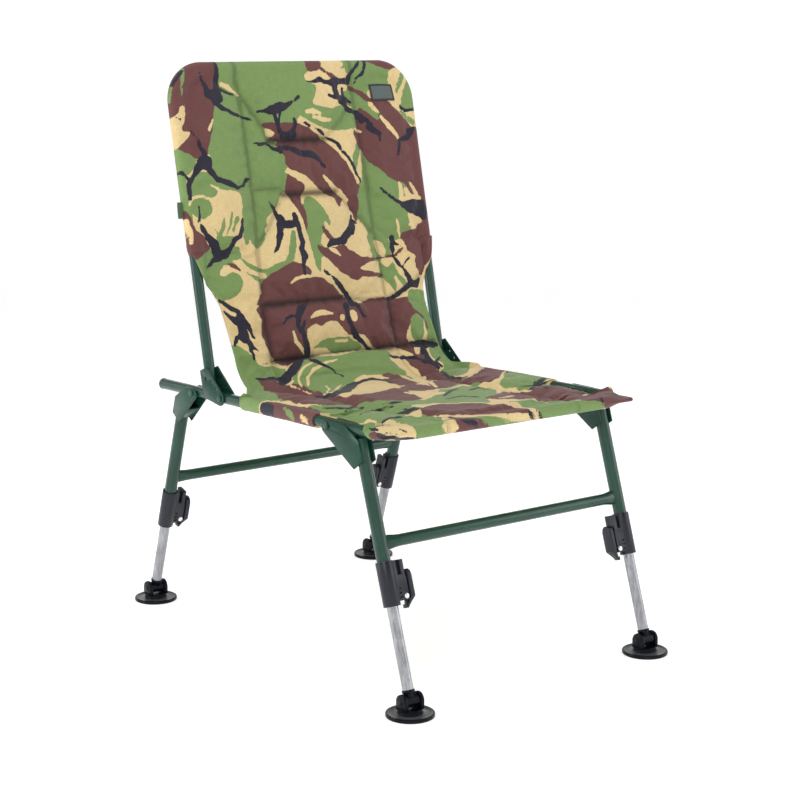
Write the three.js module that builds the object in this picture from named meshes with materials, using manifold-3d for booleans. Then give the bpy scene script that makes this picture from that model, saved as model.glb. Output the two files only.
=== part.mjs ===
// Folding fishing chair with camouflage padding, telescopic legs and swivel mud feet.
// Millimetres, +Z up, front of the chair towards -Y, origin on the floor midway between the feet.
import * as THREE from 'three';
import { mergeVertices } from 'three/addons/utils/BufferGeometryUtils.js';
import Module from 'manifold-3d';

const wasm = await Module();
wasm.setup();

// Driving dimensions of the whole chair.
const railSpacing = 500;
const fit = 0.3;
const overrun = 2;
const boreOverrun = 40;

// Seat frame: one tube bent to a U, its open end at the rear.
const rail = {
  radius: 9.5, wall: 1.5, rearY: 335.34, rearZ: 412.2, tilt: THREE.MathUtils.degToRad(1.29),
  length: 660.6, bendRadius: 60,
};
const railCap = { plug: 18, head: 5, headRadius: 9.9 };

// Pivot places along the rail, measured from its rear end.
const pivotAt = { rearLeg: 114.5, backrest: 204.5, frontLeg: 522.6 };
const bolt = { radius: 3, headRadius: 6, headHeight: 3.2, nutRadius: 5.5, nutHeight: 4.5, nutSides: 6 };
const domeShares = { shoulderRadius: 0.78, shoulderHeight: 0.7 };

// Leg frames: green outer tubes, a crossbar and two pressed brackets.
const leg = { radius: 11, wall: 1.5, topToLock: 206, intoLock: 36, topToBar: 178 };
const frontLeg = { offset: -68, splay: THREE.MathUtils.degToRad(-18.06), reach: 50 };
const rearLeg = { offset: 40, splay: THREE.MathUtils.degToRad(17.8), reach: 50 };
const crossbar = { radius: 9.5, wall: 1.3, flatLength: 26, flatTall: 12.2, flatThin: 5.6 };
const bracket = {
  thick: 2.5, eyeRadius: 15, eyeTurn: THREE.MathUtils.degToRad(160), eyeSteps: 7, topAbove: 8,
  topSetback: 22, shoulder: 4, footStep: 8, webFromShare: 0.42,
};

// Telescopic inner leg with its knuckle, and the foot that swivels on it.
const inner = { clearance: 0.5, wall: 1.5, inside: 121 };
const innerRadius = leg.radius - leg.wall - inner.clearance;
const knuckle = {
  radius: 10, width: 23.4, neck: 8.9, flangeStep: 1, flangeAbove: 12, flangeThick: 3, plug: 24,
};
const foot = {
  radius: 38.5, thick: 4.5, rim: 1.6, bossRadius: 20, bossGap: 2, pivotHeight: 24,
  earRadius: 10.5, earThick: 7.8, dishRadius: 34,
};
const footPin = { radius: 3, headRadius: 5, headHeight: 1.6 };

// Cam lock: sleeve round both tubes with a block on its inboard side, and the lever on its rivet.
// Places across the block and lever are measured outwards from the sleeve.
const lock = {
  wall: 2.45, length: 70, blockInto: 4.75, blockTo: 15.25, halfWidth: 9.6, blockTop: 27,
  blockBottom: 64, wallTop: 1, wallTo: 14.25, notchFrom: 0.55, notchTo: 7.25, notchBottom: 24,
  cavityFrom: 1.75, cavityHalf: 5.6, cavityTop: 43, slotCount: 4, slotFirst: 45, slotPitch: 6.9,
  slotAcross: 4.5, slotDeep: 2.4, slotTall: 2.4, slotAt: 0.05,
};
const lockRadius = leg.radius + fit + lock.wall;
const rivet = { out: 10.25, down: 58, radius: 2.4, headRadius: 4.5, headHeight: 1.8 };
const rivetAt = lockRadius + rivet.out;
const lever = {
  hubRadius: 6.5, hubPlay: 0.4, innerFace: 18.25, outerFace: 26.25, top: 17, straightTo: 61,
  chinAt: 13.25, chinBottom: 77, chinThick: 6, halfWidth: 10,
};
const hubHalf = lock.cavityHalf - lever.hubPlay;

// Backrest: a tube bent to an inverted U that leans back, on two pressed brackets.
const back = {
  radius: 9.5, wall: 1.5, offset: 41, lean: THREE.MathUtils.degToRad(12.3), height: 564, bendRadius: 60,
  footWeb: 2.3, plateTall: 45, eyeRadius: 12, eyeStart: THREE.MathUtils.degToRad(130),
  eyeTurn: THREE.MathUtils.degToRad(140), eyeSteps: 6, rivetAt: 30, rivetRadius: 2, rivetHead: 3,
  holeRadius: 2, holeAt: [[14, 16], [27, 27]],
};

// Padded sling: a sleeve round each tube, a quilted panel between, and one piece that joins the two.
const sleeveWall = 2.2;
const pad = { edgeInset: 4, edgeHalf: 2.2, puffHalf: 8.5, seamHalf: 3.6, seamX: 123, seamGroove: 7 };
const backPad = {
  sleeveFrom: 245, lowInset: 21, lowAt: 118, bottomInset: 29, bottom: 60,
  lowForward: 24, forwardFrom: 260, forwardPower: 1.5, channels: [138, 334, 435], channelGroove: 7,
};
const seatPad = { fromPivot: 58.5, sag: 9, rise: 3, notchGap: 1.4, notchBefore: 39.6, notchAfter: 27.4 };
const bridge = { gap: 0.6, half: 4, seatInset: 20, steps: 9 };
const badge = { width: 45, height: 28, thick: 1.2, x: 190, t: 514, lift: 0.6 };
const tab = { wide: 14, tall: 30, thick: 1.6, t: 312 };

const roundSides = 18;
const smallSides = 10;
const discSides = 32;
const bendSteps = 5;

// Finishes.
function finish(color, roughness, metalness) {
  return new THREE.MeshStandardMaterial({ color, roughness, metalness });
}

const greenPaint = () => finish(0x2f5546, 0.35, 0.1);
const aluminium = () => finish(0xc8ccd2, 0.35, 1);
const darkPlastic = () => finish(0x35373b, 0.5, 0);
const blackRubber = () => finish(0x17181a, 0.7, 0);
const brightSteel = () => finish(0xd8d8da, 0.25, 1);
const camouflage = () => finish(0x7a9e56, 0.9, 0);
const greyWeave = () => finish(0x3a3d3a, 0.9, 0);

// Solids are joined and cut as closed triangle meshes.
function solidOf(geometry) {
  const bare = geometry.clone();
  bare.deleteAttribute('normal');
  bare.deleteAttribute('uv');
  const merged = mergeVertices(bare, 1e-4);
  return new wasm.Manifold(new wasm.Mesh({
    numProp: 3,
    vertProperties: new Float32Array(merged.attributes.position.array),
    triVerts: new Uint32Array(merged.index.array),
  }));
}

function geometryOf(solid) {
  const mesh = solid.getMesh();
  const geometry = new THREE.BufferGeometry();
  geometry.setAttribute('position', new THREE.BufferAttribute(new Float32Array(mesh.vertProperties), 3));
  geometry.setIndex(new THREE.BufferAttribute(new Uint32Array(mesh.triVerts), 1));
  geometry.computeVertexNormals();
  return geometry;
}

const joined = (...geometries) => geometryOf(geometries.map(solidOf).reduce((a, b) => a.add(b)));
const less = (body, tool) => body.subtract(solidOf(tool));
const cut = (body, ...tools) => geometryOf(tools.reduce(less, solidOf(body)));
const common = (a, b) => geometryOf(solidOf(a).intersect(solidOf(b)));

// Upright cylinder between two heights.
function post(radius, low, high, sides = roundSides) {
  const geometry = new THREE.CylinderGeometry(radius, radius, high - low, sides);
  return geometry.rotateX(Math.PI / 2).translate(0, 0, (low + high) / 2);
}

// Cylinder along X between two places.
function crossPin(radius, from, to, sides = smallSides) {
  return post(radius, from, to, sides).rotateY(Math.PI / 2);
}

function block(x0, x1, y0, y1, z0, z1) {
  const geometry = new THREE.BoxGeometry(Math.abs(x1 - x0), y1 - y0, z1 - z0);
  return geometry.translate((x0 + x1) / 2, (y0 + y1) / 2, (z0 + z1) / 2);
}

function ring(outer, inside, low, high, sides = roundSides) {
  const points = [[inside, low], [outer, low], [outer, high], [inside, high], [inside, low]];
  const geometry = new THREE.LatheGeometry(points.map(([r, z]) => new THREE.Vector2(r, z)), sides);
  return geometry.rotateX(Math.PI / 2);
}

function turned(points, sides = roundSides) {
  const profile = points.map(([r, z]) => new THREE.Vector2(r, z));
  return new THREE.LatheGeometry(profile, sides).rotateX(Math.PI / 2);
}

function circleOutline(radius, sides) {
  return Array.from({ length: sides }, (_, i) => {
    const a = (i / sides) * Math.PI * 2;
    return new THREE.Vector2(radius * Math.cos(a), radius * Math.sin(a));
  });
}

// Plate whose outline is drawn in Y and Z, spread along X.
function plate(outline, x0, x1, holes = []) {
  const shape = new THREE.Shape(outline);
  shape.holes = holes.map(({ at, radius }) => {
    const points = circleOutline(radius, smallSides).map((v) => v.add(at));
    return new THREE.Path(points);
  });
  const geometry = new THREE.ExtrudeGeometry(shape, { depth: x1 - x0, bevelEnabled: false });
  const axes = new THREE.Matrix4().makeBasis(
    new THREE.Vector3(0, 1, 0), new THREE.Vector3(0, 0, 1), new THREE.Vector3(1, 0, 0),
  );
  return geometry.applyMatrix4(axes).translate(x0, 0, 0);
}

// A route that puts its stations only where the bent tube needs them.
class TubeRoute extends THREE.Curve {
  constructor(stations) {
    super();
    this.stations = stations;
  }

  station(u) {
    return this.stations[Math.round(u * (this.stations.length - 1))];
  }

  getPoint(u) {
    return this.station(u).place.clone();
  }

  getPointAt(u) {
    return this.getPoint(u);
  }

  getTangentAt(u) {
    return this.station(u).along.clone();
  }
}

// Stations of a U in the XY plane: down one side from y = start, across at y = barY, and back up.
function uRoute(halfWidth, start, barY, bendRadius) {
  const down = Math.sign(barY - start);
  const cornerY = barY - down * bendRadius;
  const stations = [];
  const add = (x, y, ax, ay) => stations.push({
    place: new THREE.Vector3(x, y, 0), along: new THREE.Vector3(ax, ay, 0),
  });
  const hasLegs = Math.abs(start - cornerY) > fit;
  if (hasLegs) add(-halfWidth, start, 0, down);
  for (let i = 0; i <= bendSteps; i += 1) {
    const c = Math.cos((i / bendSteps) * (Math.PI / 2));
    const s = Math.sin((i / bendSteps) * (Math.PI / 2));
    add(-halfWidth + bendRadius * (1 - c), cornerY + down * bendRadius * s, s, down * c);
  }
  for (let i = 0; i <= bendSteps; i += 1) {
    const c = Math.cos((i / bendSteps) * (Math.PI / 2));
    const s = Math.sin((i / bendSteps) * (Math.PI / 2));
    add(halfWidth - bendRadius * (1 - s), cornerY + down * bendRadius * c, c, -down * s);
  }
  if (hasLegs) add(halfWidth, start, 0, -down);
  return stations;
}

function sweep(stations, radius, bore = 0, sides = roundSides) {
  const shape = new THREE.Shape(circleOutline(radius, sides));
  if (bore > 0) shape.holes = [new THREE.Path(circleOutline(bore, sides))];
  const route = new TubeRoute(stations);
  const settings = { steps: stations.length - 1, extrudePath: route, bevelEnabled: false };
  return new THREE.ExtrudeGeometry(shape, settings);
}

// Turns a closed mesh inside out where its faces point inwards.
function outward(geometry) {
  const p = geometry.attributes.position;
  const index = geometry.index;
  const [a, b, c] = [new THREE.Vector3(), new THREE.Vector3(), new THREE.Vector3()];
  const at = (k) => (index ? index.getX(k) : k);
  let volume = 0;
  for (let k = 0; k < (index ? index.count : p.count); k += 3) {
    [a, b, c].forEach((v, n) => v.fromBufferAttribute(p, at(k + n)));
    volume += a.dot(b.cross(c));
  }
  if (volume > 0) return geometry;
  const flipped = geometry.toNonIndexed();
  const q = flipped.attributes.position.array;
  for (let k = 0; k < q.length; k += 9) {
    for (let n = 0; n < 3; n += 1) [q[k + 3 + n], q[k + 6 + n]] = [q[k + 6 + n], q[k + 3 + n]];
  }
  return flipped;
}

const tubeOf = (stations, radius, bore, sides) => outward(sweep(stations, radius, bore, sides));

// Closed panel on a grid: rows give the place and half width, and each half width its columns.
function panel(rows, columnsOf, frontAt, backAt, placeOf) {
  const wide = columnsOf(rows[0].half).length;
  const points = [];
  for (const depthAt of [frontAt, backAt]) {
    for (const { t, half } of rows) {
      for (const x of columnsOf(half)) points.push(placeOf(x, depthAt(x, t), t));
    }
  }
  const faces = [];
  const quad = (a, b, c, d) => faces.push(a, b, c, a, c, d);
  const under = rows.length * wide;
  for (let i = 0; i + 1 < rows.length; i += 1) {
    for (let j = 0; j + 1 < wide; j += 1) {
      const k = i * wide + j;
      quad(k, k + 1, k + wide + 1, k + wide);
      quad(under + k, under + k + wide, under + k + wide + 1, under + k + 1);
    }
    for (const [k, side] of [[i * wide, 1], [i * wide + wide - 1, -1]]) {
      const around = [k, k + wide, under + k + wide, under + k];
      quad(...(side > 0 ? around : around.reverse()));
    }
  }
  for (const [start, end] of [[0, 1], [(rows.length - 1) * wide, -1]]) {
    for (let j = 0; j + 1 < wide; j += 1) {
      const k = start + j;
      const across = [k, under + k, under + k + 1, k + 1];
      quad(...(end > 0 ? across : across.reverse()));
    }
  }
  const geometry = new THREE.BufferGeometry();
  const places = new Float32Array(points.flatMap((v) => [v.x, v.y, v.z]));
  geometry.setAttribute('position', new THREE.BufferAttribute(places, 3));
  geometry.setIndex(faces);
  geometry.computeVertexNormals();
  return outward(geometry);
}

function named(name, geometry, material) {
  const mesh = new THREE.Mesh(geometry, material);
  mesh.name = name;
  return mesh;
}

function group(x, y, z, turn, ...children) {
  const holder = new THREE.Group();
  holder.position.set(x, y, z);
  holder.rotation.x = turn;
  if (children.length) holder.add(...children);
  return holder;
}

const half = railSpacing / 2;
const sides = [['left', -1], ['right', 1]];
const barY = -rail.length;
const padHalf = half - pad.edgeInset;
const bottomHalf = half - backPad.bottomInset;

// A place on the rail axis in the chair's frame, from its distance to the rail's rear end.
const onRail = (distance) => ({
  y: rail.rearY - distance * Math.cos(rail.tilt),
  z: rail.rearZ + distance * Math.sin(rail.tilt),
});

// How far each kind of bracket's cheeks stand from the middle of its tube.
const legCheek = Math.max(leg.radius, rail.radius) + fit;
const backCheek = Math.max(back.radius, rail.radius) + fit;

// Head of a bolt or rivet, standing on the XY plane.
function domeHead(radius, height) {
  const shoulder = [radius * domeShares.shoulderRadius, height * domeShares.shoulderHeight];
  return turned([[0, 0], [radius, 0], shoulder, [0, height]], smallSides);
}

// Bolt along X with a domed head outboard, a nut inboard and its shank through both cheeks.
function pivotBolt(side, cheek) {
  const face = cheek + bracket.thick + fit;
  const head = domeHead(bolt.headRadius, bolt.headHeight);
  head.rotateY(side * Math.PI / 2).translate(side * face, 0, 0);
  const nut = crossPin(bolt.nutRadius, 0, bolt.nutHeight, bolt.nutSides);
  nut.translate(side > 0 ? -face - bolt.nutHeight : face, 0, 0);
  return joined(crossPin(bolt.radius, -face - fit, face + fit), head, nut);
}

function seatFrameTube() {
  const tube = tubeOf(uRoute(half, 0, barY, rail.bendRadius), rail.radius, rail.radius - rail.wall);
  const holes = sides.flatMap(([, side]) => Object.values(pivotAt).map((distance) => {
    const hole = crossPin(bolt.radius + fit, -rail.radius - overrun, rail.radius + overrun);
    return hole.translate(side * half, -distance, 0);
  }));
  return cut(tube, ...holes);
}

function railCapShape() {
  const plugRadius = rail.radius - rail.wall - fit;
  const edge = railCap.headRadius - fit;
  const shoulder = [[plugRadius, -railCap.plug], [plugRadius, fit], [railCap.headRadius, fit]];
  const headEnd = [[railCap.headRadius, railCap.head - fit], [edge, railCap.head], [0, railCap.head]];
  const profile = [[0, -railCap.plug], ...shoulder, ...headEnd];
  return turned(profile).rotateX(-Math.PI / 2);
}

// Thickness of padding across the panel: thin at the edges and seams, full between them.
function puff(x, halfWidth) {
  const toSeam = Math.abs(Math.abs(x) - pad.seamX) / pad.seamGroove;
  const inMiddle = Math.abs(x) < pad.seamX;
  const sideHalf = (pad.puffHalf + pad.seamHalf) / 2;
  const toEdge = (halfWidth - Math.abs(x)) / (halfWidth - pad.seamX);
  const sideSwell = pad.edgeHalf + (sideHalf - pad.edgeHalf) * Math.min(1, toEdge * 2);
  const full = inMiddle ? pad.puffHalf : sideSwell;
  return toSeam < 1 ? Math.min(full, pad.seamHalf) : full;
}

function panelColumns(halfWidth) {
  const { seamX, seamGroove } = pad;
  const seam = [seamX - seamGroove, seamX, seamX + seamGroove];
  const places = [seamX / 2, ...seam, (halfWidth + seamX) / 2, halfWidth];
  return [...places.map((x) => -x).reverse(), 0, ...places];
}

// Half width of a panel inside a U tube whose bar is at the given length.
function cornerHalf(t, length, bendRadius, halfWidth) {
  const into = Math.max(0, t - length + bendRadius);
  return halfWidth - bendRadius + Math.sqrt(Math.max(0, bendRadius ** 2 - into ** 2));
}

// Row places that follow the tube's bend.
function cornerRows(length, bendRadius) {
  return Array.from({ length: bendSteps + 1 }, (_, i) => (
    length - bendRadius + bendRadius * Math.sin((i / bendSteps) * (Math.PI / 2))
  ));
}

// Half width of the back panel and how far it stands forward of its tubes, by height up the back.
function backHalfAt(t) {
  const { sleeveFrom, lowInset, lowAt, bottomInset, bottom } = backPad;
  if (t >= sleeveFrom) return cornerHalf(t, back.height, back.bendRadius, padHalf);
  const lowHalf = half - lowInset;
  const drawn = Math.max(0, (t - lowAt) / (sleeveFrom - lowAt));
  if (t >= lowAt) return lowHalf + (padHalf - lowHalf) * drawn ** 2;
  return bottomHalf + (bottomInset - lowInset) * ((t - bottom) / (lowAt - bottom));
}

function backForwardAt(t) {
  const share = Math.max(0, (backPad.forwardFrom - t) / (backPad.forwardFrom - backPad.bottom));
  return backPad.lowForward * share ** backPad.forwardPower;
}

function backPadShape() {
  const { channels, channelGroove, sleeveFrom, bottom } = backPad;
  const marks = [bottom, ...channels.flatMap((t) => [t - channelGroove, t, t + channelGroove])];
  const fills = [(bottom + channels[0]) / 2, sleeveFrom, (channels[0] + sleeveFrom) / 2,
    ...cornerRows(back.height, back.bendRadius)];
  const rows = [...marks, ...fills].sort((a, b) => a - b).map((t) => ({ t, half: backHalfAt(t) }));
  const swellAt = (x, t) => {
    const inChannel = channels.includes(t) && Math.abs(x) < pad.seamX;
    return inChannel ? pad.seamHalf : puff(x, backHalfAt(t));
  };
  const front = (x, t) => backForwardAt(t) + swellAt(x, t);
  const behind = (x, t) => backForwardAt(t) - Math.min(swellAt(x, t), pad.seamHalf);
  const place = (x, depth, t) => new THREE.Vector3(x, -depth, t);
  const quilt = panel(rows, panelColumns, front, behind, place);
  const upright = (geometry) => geometry.rotateX(Math.PI / 2);
  const route = (start) => uRoute(half, start, back.height, back.bendRadius);
  const sleeve = upright(tubeOf(route(sleeveFrom), back.radius + fit + sleeveWall, 0, smallSides));
  const bore = upright(tubeOf(route(sleeveFrom - boreOverrun), back.radius + fit, 0, roundSides));
  return cut(joined(quilt, sleeve), bore);
}

// The seat's cloth is notched where the front brackets stand astride the rails.
const seatFrom = pivotAt.backrest + seatPad.fromPivot;
const notchFrom = pivotAt.frontLeg - seatPad.notchBefore;
const notchTo = pivotAt.frontLeg - frontLeg.offset + seatPad.notchAfter;
const nutReach = legCheek + bracket.thick + fit + bolt.nutHeight;
const notchHalf = half - nutReach - seatPad.notchGap;

function seatHalfAt(t) {
  const full = cornerHalf(t, rail.length, rail.bendRadius, padHalf);
  return t > notchFrom && t < notchTo ? Math.min(full, notchHalf) : full;
}

function seatPadShape() {
  const { sag, rise } = seatPad;
  const ease = pad.seamGroove;
  const quarter = (notchFrom - seatFrom) / 4;
  const open = [0, 1, 2, 3].map((count) => seatFrom + count * quarter);
  const notch = [notchFrom, notchFrom + ease, (notchFrom + notchTo) / 2, notchTo - ease, notchTo];
  const corner = cornerRows(rail.length, rail.bendRadius).filter((t) => t > notchTo);
  const places = [...open, ...notch, ...corner];
  const rows = places.map((t) => ({ t, half: seatHalfAt(t) }));
  const middle = (x) => rise - sag * (1 - (x / half) ** 2);
  const front = (x, t) => middle(x) + puff(x, seatHalfAt(t));
  const behind = (x, t) => middle(x) - Math.min(puff(x, seatHalfAt(t)), pad.seamHalf);
  const place = (x, depth, t) => new THREE.Vector3(x, -t, depth);
  const quilt = panel(rows, panelColumns, front, behind, place);
  const cover = rail.radius + fit + sleeveWall;
  const straights = sides.map(([, side]) => {
    const rod = post(cover, seatFrom, notchFrom - overrun, smallSides).rotateX(Math.PI / 2);
    return rod.translate(side * half, 0, 0);
  });
  const corners = uRoute(half, barY + rail.bendRadius, barY, rail.bendRadius).slice(1, -1);
  const bend = tubeOf(corners, cover, 0, smallSides);
  const boreRoute = uRoute(half, boreOverrun - seatFrom, barY, rail.bendRadius);
  const bore = tubeOf(boreRoute, rail.radius + fit, 0);
  return cut(joined(quilt, ...straights, bend), bore);
}

const seatOrigin = { y: rail.rearY, z: rail.rearZ };
const backPivot = onRail(pivotAt.backrest);
const backFoot = {
  y: backPivot.y + back.offset * Math.cos(rail.tilt),
  z: backPivot.z - back.offset * Math.sin(rail.tilt),
};

// A point of the backrest frame, given forward of its tubes and up along them, in the chair's frame.
function fromBack(forward, t) {
  const [c, s] = [Math.cos(back.lean), Math.sin(back.lean)];
  return new THREE.Vector2(backFoot.y + t * s - forward * c, backFoot.z + t * c + forward * s);
}

// The strip of sling between the back pad and the seat pad, round the knee where they meet.
function bridgeShape() {
  const top = fromBack(backPad.lowForward, backPad.bottom - bridge.gap);
  const seatEnd = onRail(seatFrom - bridge.gap);
  const end = new THREE.Vector2(seatEnd.y, seatEnd.z + seatPad.rise);
  const fall = (top.y - end.y) / Math.cos(back.lean);
  const knee = new THREE.Vector2(top.x - fall * Math.sin(back.lean), end.y);
  const curve = new THREE.QuadraticBezierCurve(top, knee, end);
  const rows = Array.from({ length: bridge.steps + 1 }, (_, i) => {
    const t = i / bridge.steps;
    return { t, half: bottomHalf + (backPad.bottomInset - bridge.seatInset) * t };
  });
  const place = (x, depth, t) => {
    const at = curve.getPoint(t);
    const along = curve.getTangent(t);
    return new THREE.Vector3(x, at.x + along.y * depth, at.y - along.x * depth);
  };
  const fuller = (x) => (puff(x, bottomHalf) - bridge.half) / 2;
  const swell = (x, t) => bridge.half + fuller(x) * Math.sin(Math.PI * t);
  return panel(rows, panelColumns, swell, () => -pad.edgeHalf, place);
}

function badgeShape() {
  const rear = backForwardAt(badge.t) + pad.puffHalf / 2 + pad.seamHalf / 2 + badge.lift;
  const [w, h] = [badge.width / 2, badge.height / 2];
  return block(badge.x - w, badge.x + w, -rear - badge.thick, -rear, badge.t - h, badge.t + h);
}

// Small folded tape sewn into the edge of the left sleeve.
function tabShape() {
  const outer = -half - back.radius - fit - sleeveWall - fit;
  const [low, high] = [tab.t - tab.tall / 2, tab.t + tab.tall / 2];
  return block(outer - tab.wide / 2, outer, -tab.thick, tab.thick, low, high);
}

const backTubeLift = rail.radius + back.footWeb + 2 * fit + back.radius * Math.sin(back.lean);
const backTubeFoot = (backTubeLift + back.offset * Math.sin(rail.tilt)) / Math.cos(back.lean);

function backTubeShape() {
  const stations = uRoute(half, backTubeFoot, back.height, back.bendRadius);
  const tube = tubeOf(stations, back.radius, back.radius - back.wall).rotateX(Math.PI / 2);
  const holes = sides.map(([, side]) => {
    const hole = crossPin(back.rivetRadius + fit, -back.radius - overrun, back.radius + overrun);
    return hole.translate(side * half, 0, back.rivetAt);
  });
  return cut(tube, ...holes);
}

// Backrest bracket in the chair's frame with its pivot at the origin.
function backBracketShape() {
  const [c, s] = [Math.cos(back.lean), Math.sin(back.lean)];
  const foot = { y: backFoot.y - backPivot.y, z: backFoot.z - backPivot.z };
  const onTube = (across, t) => (
    new THREE.Vector2(foot.y + t * s + across * c, foot.z + t * c - across * s)
  );
  const behind = back.radius + fit + bracket.thick;
  const outline = [];
  for (let i = 0; i <= back.eyeSteps; i += 1) {
    const a = back.eyeStart + back.eyeTurn * (i / back.eyeSteps);
    outline.push(new THREE.Vector2(back.eyeRadius * Math.cos(a), back.eyeRadius * Math.sin(a)));
  }
  const base = rail.radius + fit;
  outline.push(new THREE.Vector2(foot.y, -back.eyeRadius / 2));
  outline.push(new THREE.Vector2(foot.y + behind, base / 2));
  outline.push(onTube(behind, back.plateTall), onTube(-back.radius, back.plateTall + bracket.shoulder));
  const eye = { at: new THREE.Vector2(0, 0), radius: bolt.radius + fit };
  const rivetHole = { at: onTube(0, back.rivetAt), radius: back.rivetRadius + fit };
  const small = back.holeAt.map(([y, z]) => ({ at: new THREE.Vector2(y, z), radius: back.holeRadius }));
  const outer = backCheek + bracket.thick;
  const cheeks = [[backCheek, outer], [-outer, -backCheek]];
  const plates = cheeks.map(([x0, x1]) => plate(outline, x0, x1, [eye, rivetHole, ...small]));
  const atHeight = (across, z) => onTube(across, (z - foot.z + across * s) / c);
  const webTop = back.plateTall - bracket.shoulder;
  const heel = atHeight(behind, base).x;
  const rearWeb = [onTube(behind - bracket.thick, webTop), onTube(behind, webTop), atHeight(behind, base),
    atHeight(behind - bracket.thick, base)];
  const toe = foot.y - back.radius;
  const corners = [[toe, base], [heel, base], [heel, base + back.footWeb], [toe, base + back.footWeb]];
  const footWeb = corners.map(([y, z]) => new THREE.Vector2(y, z));
  const webs = [rearWeb, footWeb].map((points) => plate(points, -outer + fit, outer - fit));
  return joined(...plates, ...webs);
}

function crossRivet(radius, headRadius, headHeight, face) {
  const heads = [-1, 1].map((end) => {
    const head = domeHead(headRadius, headHeight);
    return head.rotateY(end * Math.PI / 2).translate(end * face, 0, 0);
  });
  return joined(crossPin(radius, -face - fit, face + fit), ...heads);
}

// One leg frame: where its pivots and leg axes lie, and how long the legs are.
function legLayout(pivotDistance, { offset, splay, reach }) {
  const pivot = onRail(pivotDistance);
  const axis = { y: offset * Math.cos(rail.tilt), z: -offset * Math.sin(rail.tilt) };
  const length = (pivot.z + axis.z - foot.pivotHeight) / Math.cos(splay);
  const fromSquare = Math.abs(splay + rail.tilt);
  const tubeTop = (rail.radius + fit + leg.radius * Math.sin(fromSquare)) / Math.cos(fromSquare);
  return { pivot, axis, splay, length, tubeTop, reach, inwards: -Math.sign(offset) };
}

const lockBottom = leg.topToLock + lock.length;

// Pressed leg bracket: two cheeks astride the rail and the leg, and a web along the edge under the pivot.
function legBracketShape({ axis, splay, tubeTop, reach, inwards }) {
  const down = new THREE.Vector2(Math.sin(splay), -Math.cos(splay));
  const toPivot = new THREE.Vector2(Math.cos(splay), Math.sin(splay)).multiplyScalar(inwards);
  const beside = (across, along) => new THREE.Vector2(axis.y, axis.z)
    .addScaledVector(down, along).addScaledVector(toPivot, across);
  const width = leg.radius + fit;
  const outerWidth = width + bracket.thick;
  const outline = [];
  for (let i = 0; i <= bracket.eyeSteps; i += 1) {
    const a = Math.PI / 2 - bracket.eyeTurn * (i / bracket.eyeSteps);
    const tall = a > 0 ? bracket.topAbove : bracket.eyeRadius;
    outline.push(new THREE.Vector2(inwards * bracket.eyeRadius * Math.cos(a), tall * Math.sin(a)));
  }
  const arcEnd = outline[bracket.eyeSteps];
  const tip = beside(outerWidth, reach + bracket.footStep);
  outline.push(tip, beside(-width, reach), beside(-width, tubeTop + bracket.shoulder));
  outline.push(new THREE.Vector2(axis.y + inwards * bracket.topSetback, bracket.topAbove));
  const eye = { at: new THREE.Vector2(0, 0), radius: bolt.radius + fit };
  const outer = legCheek + bracket.thick;
  const cheeks = [[legCheek, outer], [-outer, -legCheek]];
  const plates = cheeks.map(([x0, x1]) => plate(outline, x0, x1, [eye]));
  const start = arcEnd.clone().lerp(tip, bracket.webFromShare);
  const end = beside(outerWidth, reach);
  const edge = end.clone().sub(start).normalize();
  const wall = new THREE.Vector2(-edge.y, edge.x).multiplyScalar(-inwards * bracket.thick);
  const web = [start, end, end.clone().add(wall), start.clone().add(wall)];
  return joined(...plates, plate(web, -outer + fit, outer - fit));
}

// Crossbar between the two legs of a frame, its ends pressed flat and shaped to the legs.
function crossbarShape() {
  const end = half - leg.radius / 2;
  const inward = [end - crossbar.flatLength, end - crossbar.flatLength / 2, end];
  const places = [...inward.map((x) => -x).reverse(), ...inward];
  const along = new THREE.Vector3(1, 0, 0);
  const stations = places.map((x) => ({ place: new THREE.Vector3(x, 0, 0), along }));
  const tube = tubeOf(stations, crossbar.radius, crossbar.radius - crossbar.wall);
  const p = tube.attributes.position;
  for (let i = 0; i < p.count; i += 1) {
    const share = Math.max(0, 1 - (end - Math.abs(p.getX(i))) / crossbar.flatLength);
    p.setY(i, p.getY(i) * (1 + (crossbar.flatThin / crossbar.radius - 1) * share));
    p.setZ(i, p.getZ(i) * (1 + (crossbar.flatTall / crossbar.radius - 1) * share));
  }
  const legs = sides.map(([, side]) => {
    const cutter = post(leg.radius + fit, -boreOverrun, boreOverrun);
    return cutter.translate(side * half, 0, 0);
  });
  return cut(tube, ...legs);
}

// Cam lock in the leg's frame with its upper face at the origin; the block stands inboard.
function lockShape(inboard) {
  const across = (from, to, ...rest) => (
    block(inboard * (lockRadius + from), inboard * (lockRadius + to), ...rest)
  );
  const w = lock.halfWidth;
  const body = joined(
    post(lockRadius, -lock.length, 0),
    across(-lock.blockInto, lock.blockTo, -w, w, -lock.blockBottom, -lock.blockTop),
    across(-lock.blockInto, lock.wallTo, -w, w, -lock.blockTop - overrun, -lock.wallTop),
  );
  const slots = [];
  for (let i = 0; i < lock.slotCount; i += 1) {
    const z = -lock.slotFirst - i * lock.slotPitch;
    for (const face of [-1, 1]) {
      const slot = new THREE.BoxGeometry(lock.slotAcross, 2 * lock.slotDeep, lock.slotTall);
      slots.push(slot.translate(inboard * (lockRadius + lock.slotAt), face * w, z));
    }
  }
  const pinHole = post(rivet.radius + fit, -w - overrun, w + overrun, smallSides).rotateX(Math.PI / 2);
  return cut(
    body,
    post(leg.radius + fit, -leg.intoLock - fit, overrun),
    post(innerRadius + fit, -lock.length - overrun, 0),
    across(lock.notchFrom, lock.notchTo, -w - overrun, w + overrun, -lock.notchBottom, overrun),
    across(lock.cavityFrom, lock.blockTo + overrun, -lock.cavityHalf, lock.cavityHalf,
      -lock.blockBottom - overrun, -lock.cavityTop),
    pinHole.translate(inboard * rivetAt, 0, -rivet.down),
    ...slots,
  );
}

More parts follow.
